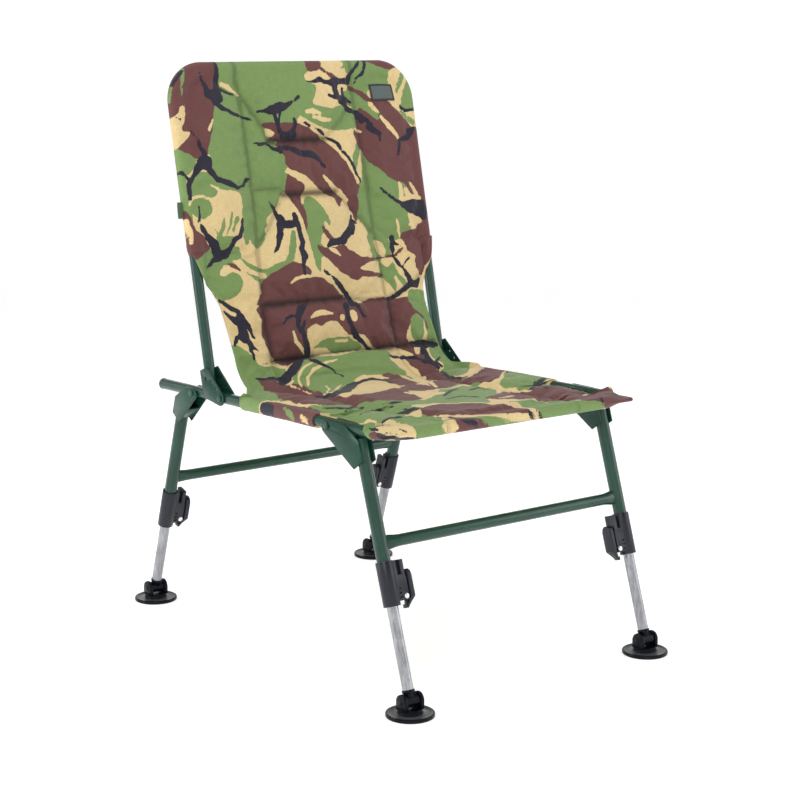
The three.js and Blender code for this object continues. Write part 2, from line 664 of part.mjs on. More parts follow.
function lockRivetShape() {
  const face = lock.halfWidth + fit;
  return crossRivet(rivet.radius, rivet.headRadius, rivet.headHeight, face).rotateZ(Math.PI / 2);
}

// Profile in X and Z spread along Y, centred.
function slab(profile, halfWidth) {
  const shape = new THREE.Shape(profile.map(([x, z]) => new THREE.Vector2(x, z)));
  const geometry = new THREE.ExtrudeGeometry(shape, { depth: 2 * halfWidth, bevelEnabled: false });
  return geometry.rotateX(Math.PI / 2).translate(0, halfWidth, 0);
}

// Lever in the lock's frame: a paddle outside the block, a chin under it and a hub between its cheeks.
function leverShape(inboard) {
  const { top, straightTo, chinBottom, chinThick } = lever;
  const across = [lever.innerFace, lever.outerFace, lever.chinAt].map((step) => lockRadius + step);
  const [innerFace, outerFace, chinAt] = across;
  const chinTop = chinBottom - chinThick;
  const outerSide = [[innerFace, -top], [outerFace, -top], [outerFace, -straightTo]];
  const chinEnd = [[chinAt, -chinBottom], [rivetAt, -chinBottom], [rivetAt, -chinTop]];
  const innerSide = [[chinAt, -chinTop], [innerFace, -straightTo]];
  const paddle = [...outerSide, ...chinEnd, ...innerSide];
  const [armTop, armEnd] = [-rivet.down + lever.hubRadius, innerFace + overrun];
  const armBottom = [[armEnd, -straightTo - overrun], [rivetAt, -rivet.down - lever.hubRadius]];
  const arm = [[rivetAt, armTop], [armEnd, armTop], ...armBottom];
  const mirrored = (points) => points.map(([x, z]) => [inboard * x, z]);
  const face = [];
  for (let i = 0; i <= smallSides / 2; i += 1) {
    const a = (i / (smallSides / 2)) * Math.PI;
    const z = -top - lever.halfWidth * (1 - Math.sin(a));
    face.push(new THREE.Vector2(lever.halfWidth * Math.cos(a), z));
  }
  const chinHalf = lock.cavityHalf - fit;
  const chinSide = [[chinHalf, -chinTop], [chinHalf, -chinBottom - overrun]];
  const under = [[lever.halfWidth, -straightTo + overrun], ...chinSide];
  const leftSide = under.map(([y, z]) => new THREE.Vector2(-y, z));
  const rightSide = under.map(([y, z]) => new THREE.Vector2(y, z)).reverse();
  face.push(...leftSide, ...rightSide);
  const [x0, x1] = [0, inboard * (outerFace + overrun)].sort((a, b) => a - b);
  const trimmed = common(slab(mirrored(paddle), lever.halfWidth), plate(face, x0, x1));
  const hub = post(lever.hubRadius, -hubHalf, hubHalf, smallSides).rotateX(Math.PI / 2);
  const hole = post(rivet.radius + fit, -hubHalf - overrun, hubHalf + overrun, smallSides);
  const place = (geometry) => geometry.translate(inboard * rivetAt, 0, -rivet.down);
  const whole = joined(trimmed, slab(mirrored(arm), hubHalf), place(hub));
  return cut(whole, place(hole.rotateX(Math.PI / 2)));
}

// Knuckle at the end of the inner leg, its pin axis at the origin.
function knuckleShape() {
  const top = knuckle.flangeAbove + knuckle.flangeThick;
  const plugRadius = innerRadius - inner.wall - fit;
  const neck = [[0, 0], [knuckle.neck, 0], [knuckle.neck, knuckle.flangeAbove]];
  const flangeRadius = innerRadius + knuckle.flangeStep;
  const flange = [[flangeRadius, knuckle.flangeAbove], [flangeRadius, top], [plugRadius, top]];
  const stem = turned([...neck, ...flange, [plugRadius, top + knuckle.plug], [0, top + knuckle.plug]]);
  const barrel = crossPin(knuckle.radius, -knuckle.width / 2, knuckle.width / 2, roundSides);
  const hole = crossPin(footPin.radius + fit, -knuckle.width, knuckle.width);
  return cut(joined(stem, barrel), hole);
}

// Mud foot with its pin axis at the origin: a dished disc, a boss and two ears.
function footShape() {
  const { radius, thick, rim, bossRadius, pivotHeight, earRadius, earThick, dishRadius } = foot;
  const bossZ = -knuckle.radius - foot.bossGap;
  const bossTop = bossZ + pivotHeight;
  const edge = [[radius - rim, 0], [radius, rim], [radius, thick], [radius - rim, thick + rim]];
  const dish = [[dishRadius, thick], [bossRadius, thick + rim]];
  const boss = [[bossRadius - fit, bossTop], [0, bossTop]];
  const disc = turned([[0, 0], ...edge, ...dish, ...boss], discSides).translate(0, 0, -pivotHeight);
  const outline = [new THREE.Vector2(earRadius, bossZ - rim), new THREE.Vector2(earRadius, 0)];
  for (let i = 1; i <= smallSides / 2; i += 1) {
    const a = (i / (smallSides / 2)) * Math.PI;
    outline.push(new THREE.Vector2(earRadius * Math.cos(a), earRadius * Math.sin(a)));
  }
  outline.push(new THREE.Vector2(-earRadius, bossZ - rim));
  const earFace = knuckle.width / 2 + fit;
  const earPlaces = [[earFace, earFace + earThick], [-earFace - earThick, -earFace]];
  const ears = earPlaces.map(([x0, x1]) => plate(outline, x0, x1));
  const rounded = ears.map((ear) => common(ear, post(bossRadius - fit, -pivotHeight, pivotHeight)));
  return cut(joined(disc, ...rounded), crossPin(footPin.radius + fit, -radius, radius));
}

function footPinShape() {
  return crossRivet(footPin.radius, footPin.headRadius, footPin.headHeight, foot.bossRadius);
}

// One leg frame with its telescopic legs, locks, levers and feet.
function legFrame(name, layout) {
  const { pivot, axis, splay, length, tubeTop } = layout;
  const frame = group(0, pivot.y, pivot.z, 0);
  const bar = named(`${name}_crossbar`, crossbarShape(), greenPaint());
  const barHolder = group(0, axis.y, axis.z, splay, bar);
  bar.position.z = -leg.topToBar;
  frame.add(barHolder);
  for (const [sideName, side] of sides) {
    const label = `${name}_${sideName}`;
    const outerTube = ring(leg.radius, leg.radius - leg.wall, -leg.topToLock - leg.intoLock, -tubeTop);
    const outer = named(`${label}_outer_leg`, outerTube, greenPaint());
    const insideTop = -lockBottom + inner.inside;
    const tubeEnd = -length + knuckle.flangeAbove + knuckle.flangeThick + fit;
    const innerTube = ring(innerRadius, innerRadius - inner.wall, tubeEnd, insideTop);
    const tube = named(`${label}_inner_leg`, innerTube, aluminium());
    const joint = named(`${label}_knuckle`, knuckleShape(), blackRubber());
    joint.position.z = -length;
    const lockParts = group(0, 0, 0, 0,
      named(`${label}_lock`, lockShape(-side), darkPlastic()),
      named(`${label}_lever`, leverShape(-side), darkPlastic()));
    const pin = named(`${label}_lever_rivet`, lockRivetShape(), brightSteel());
    pin.position.set(-side * rivetAt, 0, -rivet.down);
    lockParts.add(pin);
    lockParts.position.z = -leg.topToLock;
    const line = group(side * half, axis.y, axis.z, splay, outer, tube, joint, lockParts);
    const plateMesh = named(`${label}_bracket`, legBracketShape(layout), greenPaint());
    plateMesh.position.x = side * half;
    const end = { y: axis.y + length * Math.sin(splay), z: axis.z - length * Math.cos(splay) };
    const base = group(side * half, end.y, end.z, 0,
      named(`${label}_foot`, footShape(), blackRubber()),
      named(`${label}_foot_pin`, footPinShape(), brightSteel()));
    frame.add(line, plateMesh, base);
  }
  return frame;
}

function seatFrame() {
  const seat = group(0, seatOrigin.y, seatOrigin.z, -rail.tilt,
    named('seat_frame_tube', seatFrameTube(), greenPaint()),
    named('seat_pad', seatPadShape(), camouflage()));
  const cheeks = { rearLeg: legCheek, backrest: backCheek, frontLeg: legCheek };
  const boltNames = { rearLeg: 'rear_leg', backrest: 'backrest', frontLeg: 'front_leg' };
  for (const [sideName, side] of sides) {
    const cap = named(`rail_cap_${sideName}`, railCapShape(), blackRubber());
    cap.position.x = side * half;
    seat.add(cap);
    for (const [key, distance] of Object.entries(pivotAt)) {
      const boltMesh = pivotBolt(side, cheeks[key]);
      const pivot = named(`${boltNames[key]}_${sideName}_bolt`, boltMesh, brightSteel());
      pivot.position.set(side * half, -distance, 0);
      seat.add(pivot);
    }
  }
  return seat;
}

function backrest() {
  const leaning = group(0, backFoot.y, backFoot.z, -back.lean,
    named('backrest_tube', backTubeShape(), greenPaint()),
    named('back_pad', backPadShape(), camouflage()),
    named('back_badge', badgeShape(), greyWeave()),
    named('edge_tab', tabShape(), greyWeave()));
  const brackets = group(0, backPivot.y, backPivot.z, 0);
  for (const [sideName, side] of sides) {
    const bracketMesh = named(`backrest_${sideName}_bracket`, backBracketShape(), greenPaint());
    bracketMesh.position.x = side * half;
    brackets.add(bracketMesh);
    const face = backCheek + bracket.thick + fit;
    const rivetMesh = crossRivet(back.rivetRadius, back.rivetHead, rivet.headHeight, face);
    const pin = named(`backrest_${sideName}_rivet`, rivetMesh, greenPaint());
    pin.position.set(side * half, 0, back.rivetAt);
    leaning.add(pin);
  }
  return [leaning, brackets];
}

const chair = new THREE.Group();
chair.add(
  seatFrame(),
  ...backrest(),
  named('sling_bridge', bridgeShape(), camouflage()),
  legFrame('front', legLayout(pivotAt.frontLeg, frontLeg)),
  legFrame('rear', legLayout(pivotAt.rearLeg, rearLeg)),
);

export default chair;
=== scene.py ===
# Folding fishing chair: camera, light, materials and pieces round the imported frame
import math

import bmesh
import bpy
import numpy as np
from mathutils import Matrix, Vector, noise


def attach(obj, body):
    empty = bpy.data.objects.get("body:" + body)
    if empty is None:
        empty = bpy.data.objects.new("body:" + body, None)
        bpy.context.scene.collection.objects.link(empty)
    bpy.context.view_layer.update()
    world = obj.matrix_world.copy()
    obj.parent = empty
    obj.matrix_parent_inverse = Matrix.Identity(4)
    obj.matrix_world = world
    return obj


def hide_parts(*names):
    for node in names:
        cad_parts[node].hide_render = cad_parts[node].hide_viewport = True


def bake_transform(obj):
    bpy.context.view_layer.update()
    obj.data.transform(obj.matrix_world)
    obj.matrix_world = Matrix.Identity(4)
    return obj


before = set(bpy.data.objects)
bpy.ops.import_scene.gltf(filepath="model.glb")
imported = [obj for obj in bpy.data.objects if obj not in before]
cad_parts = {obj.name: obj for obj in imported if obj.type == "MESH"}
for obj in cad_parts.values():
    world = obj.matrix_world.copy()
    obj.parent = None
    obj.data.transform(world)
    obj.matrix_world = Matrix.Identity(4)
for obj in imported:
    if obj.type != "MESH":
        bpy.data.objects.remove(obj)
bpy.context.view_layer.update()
mm = 0.001
scene = bpy.context.scene
print("stage 1: frame loaded")


def putIn(name, data):
    made = bpy.data.objects.new(name, data)
    scene.collection.objects.link(made)
    return made


# camera

cameraPlan = {"place": (-1.9477, -2.5945, 1.0307), "azimuth": 37.23, "elevation": 10.92, "lens": 85.92}


def placeCamera(plan):
    data = bpy.data.cameras.new("photoCamera")
    data.lens = plan["lens"]
    data.sensor_width = 36
    data.clip_end = 60
    camera = putIn("photoCamera", data)
    turn, rise = math.radians(plan["azimuth"]), math.radians(plan["elevation"])
    look = Vector((math.sin(turn) * math.cos(rise), math.cos(turn) * math.cos(rise), -math.sin(rise)))
    camera.rotation_euler = look.to_track_quat("-Z", "Y").to_euler()
    camera.location = plan["place"]
    scene.camera = camera


placeCamera(cameraPlan)

# light

lightPlan = {
    "world": (1.0, 1.0, 1.0), "worldStrength": 0.3,
    "boxes": [
        # place, aims at, width, height, watts
        ((-2.4, -2.4, 2.8), (0, 0, 0.5), 1.3, 1.3, 46),
        ((2.6, -2.2, 1.7), (0, 0, 0.5), 1.8, 2.6, 22),
        ((0.2, 0.3, 3.4), (0, 0, 0.5), 1.8, 1.8, 30),
        ((-2.8, 1.2, 1.4), (0, 0, 0.4), 0.7, 2.2, 30),
    ],
}


def placeLights(plan):
    world = bpy.data.worlds.new("studio")
    world.use_nodes = True
    back = world.node_tree.nodes["Background"]
    back.inputs["Color"].default_value = (*plan["world"], 1)
    back.inputs["Strength"].default_value = plan["worldStrength"]
    scene.world = world
    for number, (place, target, width, height, watts) in enumerate(plan["boxes"]):
        data = bpy.data.lights.new(f"softbox{number}", "AREA")
        data.shape = "RECTANGLE"
        data.size, data.size_y, data.energy = width, height, watts
        lamp = putIn(f"softbox{number}", data)
        lamp.location = place
        lamp.rotation_euler = (Vector(target) - Vector(place)).to_track_quat("-Z", "Y").to_euler()
    scene.view_settings.view_transform = "Standard"
    scene.view_settings.look = "None"


placeLights(lightPlan)

# node helpers


def feed(tree, socket, value):
    if isinstance(value, bpy.types.NodeSocket):
        tree.links.new(value, socket)
    else:
        socket.default_value = (*value, 1) if socket.type == "RGBA" else value


# an input is given by its name, or as in0, in1 and so on by its place
def addNode(tree, kind, settings=None, **values):
    node = tree.nodes.new(kind)
    for key, value in (settings or {}).items():
        setattr(node, key, value)
    for key, value in values.items():
        placed = key.startswith("in") and key[2:].isdigit()
        feed(tree, node.inputs[int(key[2:]) if placed else key], value)
    return node


def calc(tree, operation, a, b=0.0, c=0.0):
    return addNode(tree, "ShaderNodeMath", {"operation": operation}, in0=a, in1=b, in2=c).outputs[0]


def mixColour(tree, factor, first, second, blend="MIX"):
    settings = {"data_type": "RGBA", "blend_type": blend}
    return addNode(tree, "ShaderNodeMix", settings, in0=factor, in6=first, in7=second).outputs[2]


def span(tree, value, low, high, to=(0.0, 1.0), smooth=True):
    node = addNode(tree, "ShaderNodeMapRange", {"interpolation_type": "SMOOTHSTEP" if smooth else "LINEAR"})
    tree.links.new(value, node.inputs["Value"])
    for name, number in (("From Min", low), ("From Max", high), ("To Min", to[0]), ("To Max", to[1])):
        node.inputs[name].default_value = number
    return node.outputs[0]


def noiseOf(tree, vector, scale, detail=2.0, rough=0.5, stretch=(1, 1, 1)):
    spot = addNode(tree, "ShaderNodeMapping", Vector=vector, Scale=stretch).outputs[0]
    node = addNode(tree, "ShaderNodeTexNoise", Vector=spot, Scale=scale, Detail=detail, Roughness=rough)
    return node.outputs["Fac"]


def attributeOf(tree, name):
    return addNode(tree, "ShaderNodeAttribute", {"attribute_name": name}).outputs["Fac"]


def greyOf(tree, value):
    return addNode(tree, "ShaderNodeCombineColor", in0=value, in1=value, in2=value).outputs[0]


def newGroup(name, sockets):
    tree = bpy.data.node_groups.new(name, "ShaderNodeTree")
    for socket, direction, kind, value in sockets:
        item = tree.interface.new_socket(socket, in_out=direction, socket_type=f"NodeSocket{kind}")
        if value is not None:
            item.default_value = value
    return tree, tree.nodes.new("NodeGroupInput"), tree.nodes.new("NodeGroupOutput")


def useGroup(tree, group, **values):
    node = tree.nodes.new("ShaderNodeGroup")
    node.node_tree = group
    for key, value in values.items():
        feed(tree, node.inputs[key], value)
    return node


# fine scuffs and dust that paint, plastic and metal share
def buildScuffs():
    tree, given, result = newGroup("fineScuffs", [
        ("Vector", "INPUT", "Vector", None), ("Size", "INPUT", "Float", 90.0),
        ("Share", "INPUT", "Float", 0.35), ("Mask", "OUTPUT", "Float", None),
        ("Height", "OUTPUT", "Float", None)])
    spot, size = given.outputs["Vector"], given.outputs["Size"]
    broad = addNode(tree, "ShaderNodeTexNoise", Vector=spot, Scale=size, Detail=5.0)
    finer = calc(tree, "MULTIPLY", size, 7.0)
    grain = addNode(tree, "ShaderNodeTexNoise", Vector=spot, Scale=finer, Detail=3.0)
    both = calc(tree, "MULTIPLY", span(tree, broad.outputs["Fac"], 0.5, 0.72),
                span(tree, grain.outputs["Fac"], 0.45, 0.7))
    tree.links.new(calc(tree, "MULTIPLY", both, given.outputs["Share"]), result.inputs["Mask"])
    tree.links.new(grain.outputs["Fac"], result.inputs["Height"])
    return tree


# plain weave over the cloth's own map: over and under threads as height, and their shade
def buildWeave():
    tree, given, result = newGroup("clothWeave", [
        ("Vector", "INPUT", "Vector", None), ("Threads", "INPUT", "Float", 1300.0),
        ("Height", "OUTPUT", "Float", None), ("Shade", "OUTPUT", "Float", None)])
    parts = addNode(tree, "ShaderNodeSeparateXYZ", Vector=given.outputs["Vector"])
    across = calc(tree, "MULTIPLY", parts.outputs[0], given.outputs["Threads"])
    along = calc(tree, "MULTIPLY", parts.outputs[1], given.outputs["Threads"])
    warp = calc(tree, "ABSOLUTE", calc(tree, "SINE", calc(tree, "MULTIPLY", across, math.pi)))
    weft = calc(tree, "ABSOLUTE", calc(tree, "SINE", calc(tree, "MULTIPLY", along, math.pi)))
    crossing = calc(tree, "ADD", calc(tree, "FLOOR", across), calc(tree, "FLOOR", along))
    over = calc(tree, "ABSOLUTE", calc(tree, "MODULO", crossing, 2.0))
    height = addNode(tree, "ShaderNodeMix", in0=over, in2=warp, in3=weft).outputs[0]
    tree.links.new(height, result.inputs["Height"])
    slubAlong = noiseOf(tree, given.outputs["Vector"], 900.0, 2.0, 0.6, (1, 0.08, 1))
    slubAcross = noiseOf(tree, given.outputs["Vector"], 900.0, 2.0, 0.6, (0.08, 1, 1))
    shade = calc(tree, "MULTIPLY_ADD", calc(tree, "ADD", slubAlong, slubAcross), 0.5, 0.0)
    tree.links.new(shade, result.inputs["Shade"])
    return tree


scuffs = buildScuffs()
weave = buildWeave()


def newMaterial(name):
    material = bpy.data.materials.new(name)
    material.use_nodes = True
    tree = material.node_tree
    spot = addNode(tree, "ShaderNodeTexCoord").outputs["Object"]
    return material, tree, tree.nodes["Principled BSDF"], spot


def setOn(shader, values):
    for name, value in values.items():
        shader.inputs[name].default_value = value


def bumpTo(tree, shader, height, strength, distance):
    bump = addNode(tree, "ShaderNodeBump", Height=height, Strength=strength, Distance=distance)
    tree.links.new(bump.outputs[0], shader.inputs["Normal"])


# dark green gloss powder coat
paintPlan = {
    "deep": (0.009, 0.044, 0.029), "light": (0.015, 0.062, 0.042), "worn": (0.05, 0.10, 0.075), "rough": 0.2,
}


def buildPaint(plan, name="greenGlossPaint", coat=0.22, shine=0.3):
    material, tree, shader, spot = newMaterial(name)
    cloud = noiseOf(tree, spot, 14.0, 3.0)
    base = mixColour(tree, span(tree, cloud, 0.3, 0.7), plan["deep"], plan["light"])
    wear = useGroup(tree, scuffs, Vector=spot, Size=60.0, Share=0.05)
    tree.links.new(mixColour(tree, wear.outputs["Mask"], base, plan["worn"]), shader.inputs["Base Color"])
    tree.links.new(span(tree, wear.outputs["Height"], 0.3, 0.8, (plan["rough"], plan["rough"] + 0.03)),
                   shader.inputs["Roughness"])
    bumpTo(tree, shader, noiseOf(tree, spot, 180.0, 1.0), 0.02, 0.0001)
    setOn(shader, {"Coat Weight": coat, "Coat Roughness": 0.08, "Specular IOR Level": shine})
    return material


# satin drawn aluminium
tubePlan = {"pale": (0.44, 0.45, 0.47), "dull": (0.26, 0.265, 0.285), "rough": 0.26}


def buildAluminium(plan):
    material, tree, shader, spot = newMaterial("satinAluminium")
    drawn = noiseOf(tree, spot, 420.0, 4.0, 0.6, (1, 0.35, 0.03))
    cloud = noiseOf(tree, spot, 30.0, 3.0)
    shade = calc(tree, "MULTIPLY_ADD", drawn, 0.6, calc(tree, "MULTIPLY", cloud, 0.4))
    tree.links.new(mixColour(tree, span(tree, shade, 0.35, 0.7), plan["dull"], plan["pale"]),
                   shader.inputs["Base Color"])
    tree.links.new(span(tree, drawn, 0.3, 0.7, (plan["rough"] - 0.06, plan["rough"] + 0.1)),
                   shader.inputs["Roughness"])
    bumpTo(tree, shader, drawn, 0.1, 0.0002)
    setOn(shader, {"Metallic": 1.0})
    return material


# moulded plastics and rubber
def buildMoulded(name, dark, light, rough, grain, shine):
    material, tree, shader, spot = newMaterial(name)
    wear = useGroup(tree, scuffs, Vector=spot, Size=70.0, Share=0.2)
    cloud = noiseOf(tree, spot, 25.0, 2.0)
    base = mixColour(tree, cloud, dark, light)
    pale = tuple(min(1.0, c * 2.2 + 0.02) for c in light)
    tree.links.new(mixColour(tree, wear.outputs["Mask"], base, pale), shader.inputs["Base Color"])
    tree.links.new(span(tree, cloud, 0.3, 0.7, (rough - 0.06, rough + 0.08)), shader.inputs["Roughness"])
    cells = addNode(tree, "ShaderNodeTexVoronoi", {"feature": "SMOOTH_F1"}, Vector=spot, Scale=grain)
    bumpTo(tree, shader, cells.outputs["Distance"], 0.25, 0.0002)
    setOn(shader, {"Specular IOR Level": shine})
    return material


# plated steel of bolts, pins and rivets
steelPlan = {"bright": (0.8, 0.8, 0.81), "dull": (0.55, 0.56, 0.58), "rough": 0.2}


def buildSteel(plan):
    material, tree, shader, spot = newMaterial("platedSteel")
    wear = useGroup(tree, scuffs, Vector=spot, Size=260.0, Share=0.8)
    tree.links.new(mixColour(tree, wear.outputs["Mask"], plan["bright"], plan["dull"]),
                   shader.inputs["Base Color"])
    tree.links.new(span(tree, wear.outputs["Height"], 0.3, 0.75, (plan["rough"], plan["rough"] + 0.16)),
                   shader.inputs["Roughness"])
    bumpTo(tree, shader, wear.outputs["Height"], 0.08, 0.0001)
    setOn(shader, {"Metallic": 1.0})
    return material


# printed camouflage cloth: the masks come from the cloth's own attributes, the edges from noise on its map
camoPlan = {
    "sand": (0.700, 0.535, 0.265), "green": (0.172, 0.268, 0.085), "brown": (0.128, 0.043, 0.041),
    "black": (0.014, 0.012, 0.026), "thread": (0.05, 0.045, 0.035),
    "rough": 0.66, "sheen": 0.12, "closes": 0.005, "threads": 1100.0, "stitches": 220.0, "furrowDark": 0.14,
    # each printed layer: its field on the cloth, its ink, and how ragged and how brushed its edge is
    "layers": [
        ("greenField", "green", 0.010, 0.004), ("brownField", "brown", 0.009, 0.004),
        ("sandField", "sand", 0.005, 0.003), ("leafField", "green", 0.006, 0.003),
        ("blackField", "black", 0.008, 0.003),
    ],
}


def buildCamouflage(plan):
    material, tree, shader = newMaterial("camouflageCloth")[:3]
    cloth = addNode(tree, "ShaderNodeUVMap", {"uv_map": "clothMap"}).outputs[0]
    fray = calc(tree, "SUBTRACT", noiseOf(tree, cloth, 55.0, 4.0, 0.62), 0.5)
    brush = calc(tree, "SUBTRACT", noiseOf(tree, cloth, 80.0, 3.0, 0.6, (0.35, 1.5, 1)), 0.5)
    cloudy = span(tree, noiseOf(tree, cloth, 9.0, 2.0), 0.3, 0.7)
    colour = mixColour(tree, cloudy, plan["sand"], tuple(c * 0.93 for c in plan["sand"]))
    for field, ink, ragged, brushed in plan["layers"]:
        depth = attributeOf(tree, field)
        if field == "greenField":  # green runs on to the brown where only a sliver would lie between them
            beside = calc(tree, "ADD", depth, attributeOf(tree, "brownField"))
            depth = calc(tree, "MINIMUM", depth, calc(tree, "SUBTRACT", beside, plan["closes"]))
        edge = calc(tree, "MULTIPLY_ADD", fray, ragged, calc(tree, "MULTIPLY_ADD", brush, brushed, depth))
        colour = mixColour(tree, span(tree, edge, 0.0004, -0.0004), colour, plan[ink])
    weaving = useGroup(tree, weave, Vector=cloth, Threads=plan["threads"])
    faded = span(tree, weaving.outputs["Shade"], 0.3, 0.7, (0.86, 1.1))
    colour = mixColour(tree, 1.0, colour, greyOf(tree, faded), "MULTIPLY")
    near = span(tree, calc(tree, "ABSOLUTE", attributeOf(tree, "seamAcross")), 0.0011, 0.0006)
    stitch = calc(tree, "FRACT", calc(tree, "MULTIPLY", attributeOf(tree, "seamAlong"), plan["stitches"]))
    dash = span(tree, calc(tree, "ABSOLUTE", calc(tree, "SUBTRACT", stitch, 0.5)), 0.36, 0.3)
    thread = calc(tree, "MULTIPLY", near, dash)
    # painted shade: the cloth's colour darkens along the seams' furrows and along the hem on the back sheet
    paintedShadeTone = span(tree, attributeOf(tree, "furrow"), 0.0, 1.0, (1.0, plan["furrowDark"]), smooth=False)
    colour = mixColour(tree, 1.0, colour, greyOf(tree, paintedShadeTone), "MULTIPLY")
    colour = mixColour(tree, calc(tree, "MULTIPLY", thread, 0.45), colour, plan["thread"])
    tree.links.new(colour, shader.inputs["Base Color"])
    height = calc(tree, "MULTIPLY_ADD", weaving.outputs["Height"], 0.22, calc(tree, "MULTIPLY", thread, 0.9))
    bumpTo(tree, shader, height, 0.5, 0.0006)
    setOn(shader, {"Roughness": plan["rough"], "Sheen Weight": plan["sheen"], "Sheen Roughness": 0.5,
                   "Specular IOR Level": 0.3})
    return material


def buildTape(name, dark, light, threads):
    material, tree, shader, spot = newMaterial(name)
    laid = addNode(tree, "ShaderNodeMapping", Vector=spot, Rotation=(math.radians(90), 0, 0))
    weaving = useGroup(tree, weave, Vector=laid.outputs[0], Threads=threads)
    # the threads' tops are painted lighter and the dips between them darker: painted shade of the weave
    tree.links.new(mixColour(tree, weaving.outputs["Height"], dark, light), shader.inputs["Base Color"])
    bumpTo(tree, shader, weaving.outputs["Height"], 0.6, 0.0004)
    setOn(shader, {"Roughness": 0.85})
    return material


paint = buildPaint(paintPlan)
platePaint = buildPaint(paintPlan, "greenPlatePaint", 0.08, 0.16)
aluminium = buildAluminium(tubePlan)
steel = buildSteel(steelPlan)
# dark and light colour, roughness, grain and gloss
mouldedPlan = {
    "darkMouldedPlastic": ((0.006, 0.0075, 0.013), (0.014, 0.017, 0.026), 0.34, 1500.0, 0.36),
    "blackMouldedFoot": ((0.0012, 0.0018, 0.004), (0.0035, 0.0045, 0.009), 0.3, 1300.0, 0.14),
    "greyMouldedDisc": ((0.035, 0.037, 0.04), (0.07, 0.073, 0.078), 0.36, 1100.0, 0.5),
    "greyEndCap": ((0.05, 0.055, 0.06), (0.10, 0.105, 0.11), 0.45, 1300.0, 0.5),
}
moulded = [buildMoulded(name, *look) for name, look in mouldedPlan.items()]
plastic, blackPlastic, greyDisc, capPlastic = moulded
camouflage = buildCamouflage(camoPlan)
tape = buildTape("darkWovenTape", (0.012, 0.013, 0.013), (0.04, 0.043, 0.042), 900.0)
sageTape = buildTape("sageWovenTape", (0.055, 0.085, 0.045), (0.12, 0.165, 0.09), 900.0)
badgeFace = buildTape("badgeWeave", (0.05, 0.075, 0.075), (0.12, 0.15, 0.14), 700.0)
print("stage 2: materials built")

# the chair's own frames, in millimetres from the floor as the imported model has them

chairPlan = {
    "half": 250, "railRear": (335.34, 412.2), "railTilt": 1.29, "railLength": 660.6, "bend": 60,
    "rearPivot": 114.5, "backPivot": 204.5, "frontPivot": 522.6, "backOffset": 41,
    "backLean": 12.3, "backHeight": 564, "frontOffset": -68, "frontSplay": -18.06, "rearOffset": 40,
    "rearSplay": 17.8, "pinHeight": 24,
}
railTilt = math.radians(chairPlan["railTilt"])
backLean = math.radians(chairPlan["backLean"])


sides = (("left", -1), ("right", 1))


# a place on the rails' axes, by how far it is from their rear ends
def onRail(distance):
    y, z = chairPlan["railRear"]
    return y - distance * math.cos(railTilt), z + distance * math.sin(railTilt)


# where a frame stands off its pivot, along the rail
def offPivot(name):
    y, z = onRail(chairPlan[f"{name}Pivot"])
    offset = chairPlan[f"{name}Offset"]
    return y + offset * math.cos(railTilt), z - offset * math.sin(railTilt)


def turnX(degrees):
    return Matrix.Rotation(math.radians(degrees), 4, "X")


def moved(x, y, z):
    return Matrix.Translation((x, y, z))


inMetres = Matrix.Diagonal((mm, mm, mm, 1))


def spaceAt(x, y, z, degrees):
    return inMetres @ moved(x, y, z) @ turnX(degrees)


backFoot = offPivot("back")
seatSpace = spaceAt(0, *chairPlan["railRear"], -chairPlan["railTilt"])
backSpace = spaceAt(0, *backFoot, -chairPlan["backLean"])


def legPlace(name):
    y, z = offPivot(name)
    splay = chairPlan[f"{name}Splay"]
    return y, z, splay, (z - chairPlan["pinHeight"]) / math.cos(math.radians(splay))


# mesh helpers


def ease(value):
    value = np.clip(value, 0, 1)
    return value * value * (3 - 2 * value)


def meshOf(name, bm):
    mesh = bpy.data.meshes.new(name)
    bm.to_mesh(mesh)
    bm.free()
    return mesh


def smoothPiece(name, mesh, materials, angle):
    for material in materials:
        mesh.materials.append(material)
    mesh.shade_smooth()
    mesh.set_sharp_from_angle(angle=math.radians(angle))
    return putIn(name, mesh)


# a hard piece takes one CAD node's place on its body
def finishPiece(name, bm, space, materials, body, replaced, smoothAngle=40, merge=0.002):
    if merge:
        bmesh.ops.remove_doubles(bm, verts=bm.verts[:], dist=merge)
    bmesh.ops.recalc_face_normals(bm, faces=bm.faces[:])
    bm.transform(space)
    piece = smoothPiece(name, meshOf(name, bm), materials, smoothAngle)
    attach(piece, body)
    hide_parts(replaced)


def vertsIn(made):
    return [g for g in made if isinstance(g, bmesh.types.BMVert)]


def edgesIn(made):
    return [g for g in made if isinstance(g, bmesh.types.BMEdge)]


def facesIn(made):
    return [g for g in made if isinstance(g, bmesh.types.BMFace)]


def openEdges(edges):
    return [e for e in edges if len(e.link_faces) == 1]


def softEdges(bm, width, angle=35, segments=2):
    picked = [e for e in bm.edges if len(e.link_faces) == 2 and e.calc_face_angle(0) > math.radians(angle)]
    bmesh.ops.bevel(bm, geom=picked, offset=width, segments=segments, profile=0.5, affect="EDGES",
                    clamp_overlap=True, material=-1)


def pushEdges(bm, edges, move):
    made = bmesh.ops.extrude_edge_only(bm, edges=edges)["geom"]
    bmesh.ops.translate(bm, verts=vertsIn(made), vec=move)
    return openEdges(edgesIn(made))


# the ring grows or shrinks where a tube's end face is, square to Y
def stepEdges(bm, edges, size, centreX, y):
    made = bmesh.ops.extrude_edge_only(bm, edges=edges)["geom"]
    bmesh.ops.scale(bm, verts=vertsIn(made), vec=(size, 1, size), space=moved(-centreX, -y, 0))
    return openEdges(edgesIn(made))


def turnEdges(bm, edges, centre, axis, angle, steps):
    made = bmesh.ops.spin(bm, geom=edges, cent=centre, axis=axis, angle=angle, steps=steps, use_merge=False,
                          use_duplicate=False)["geom_last"]
    return edgesIn(made)


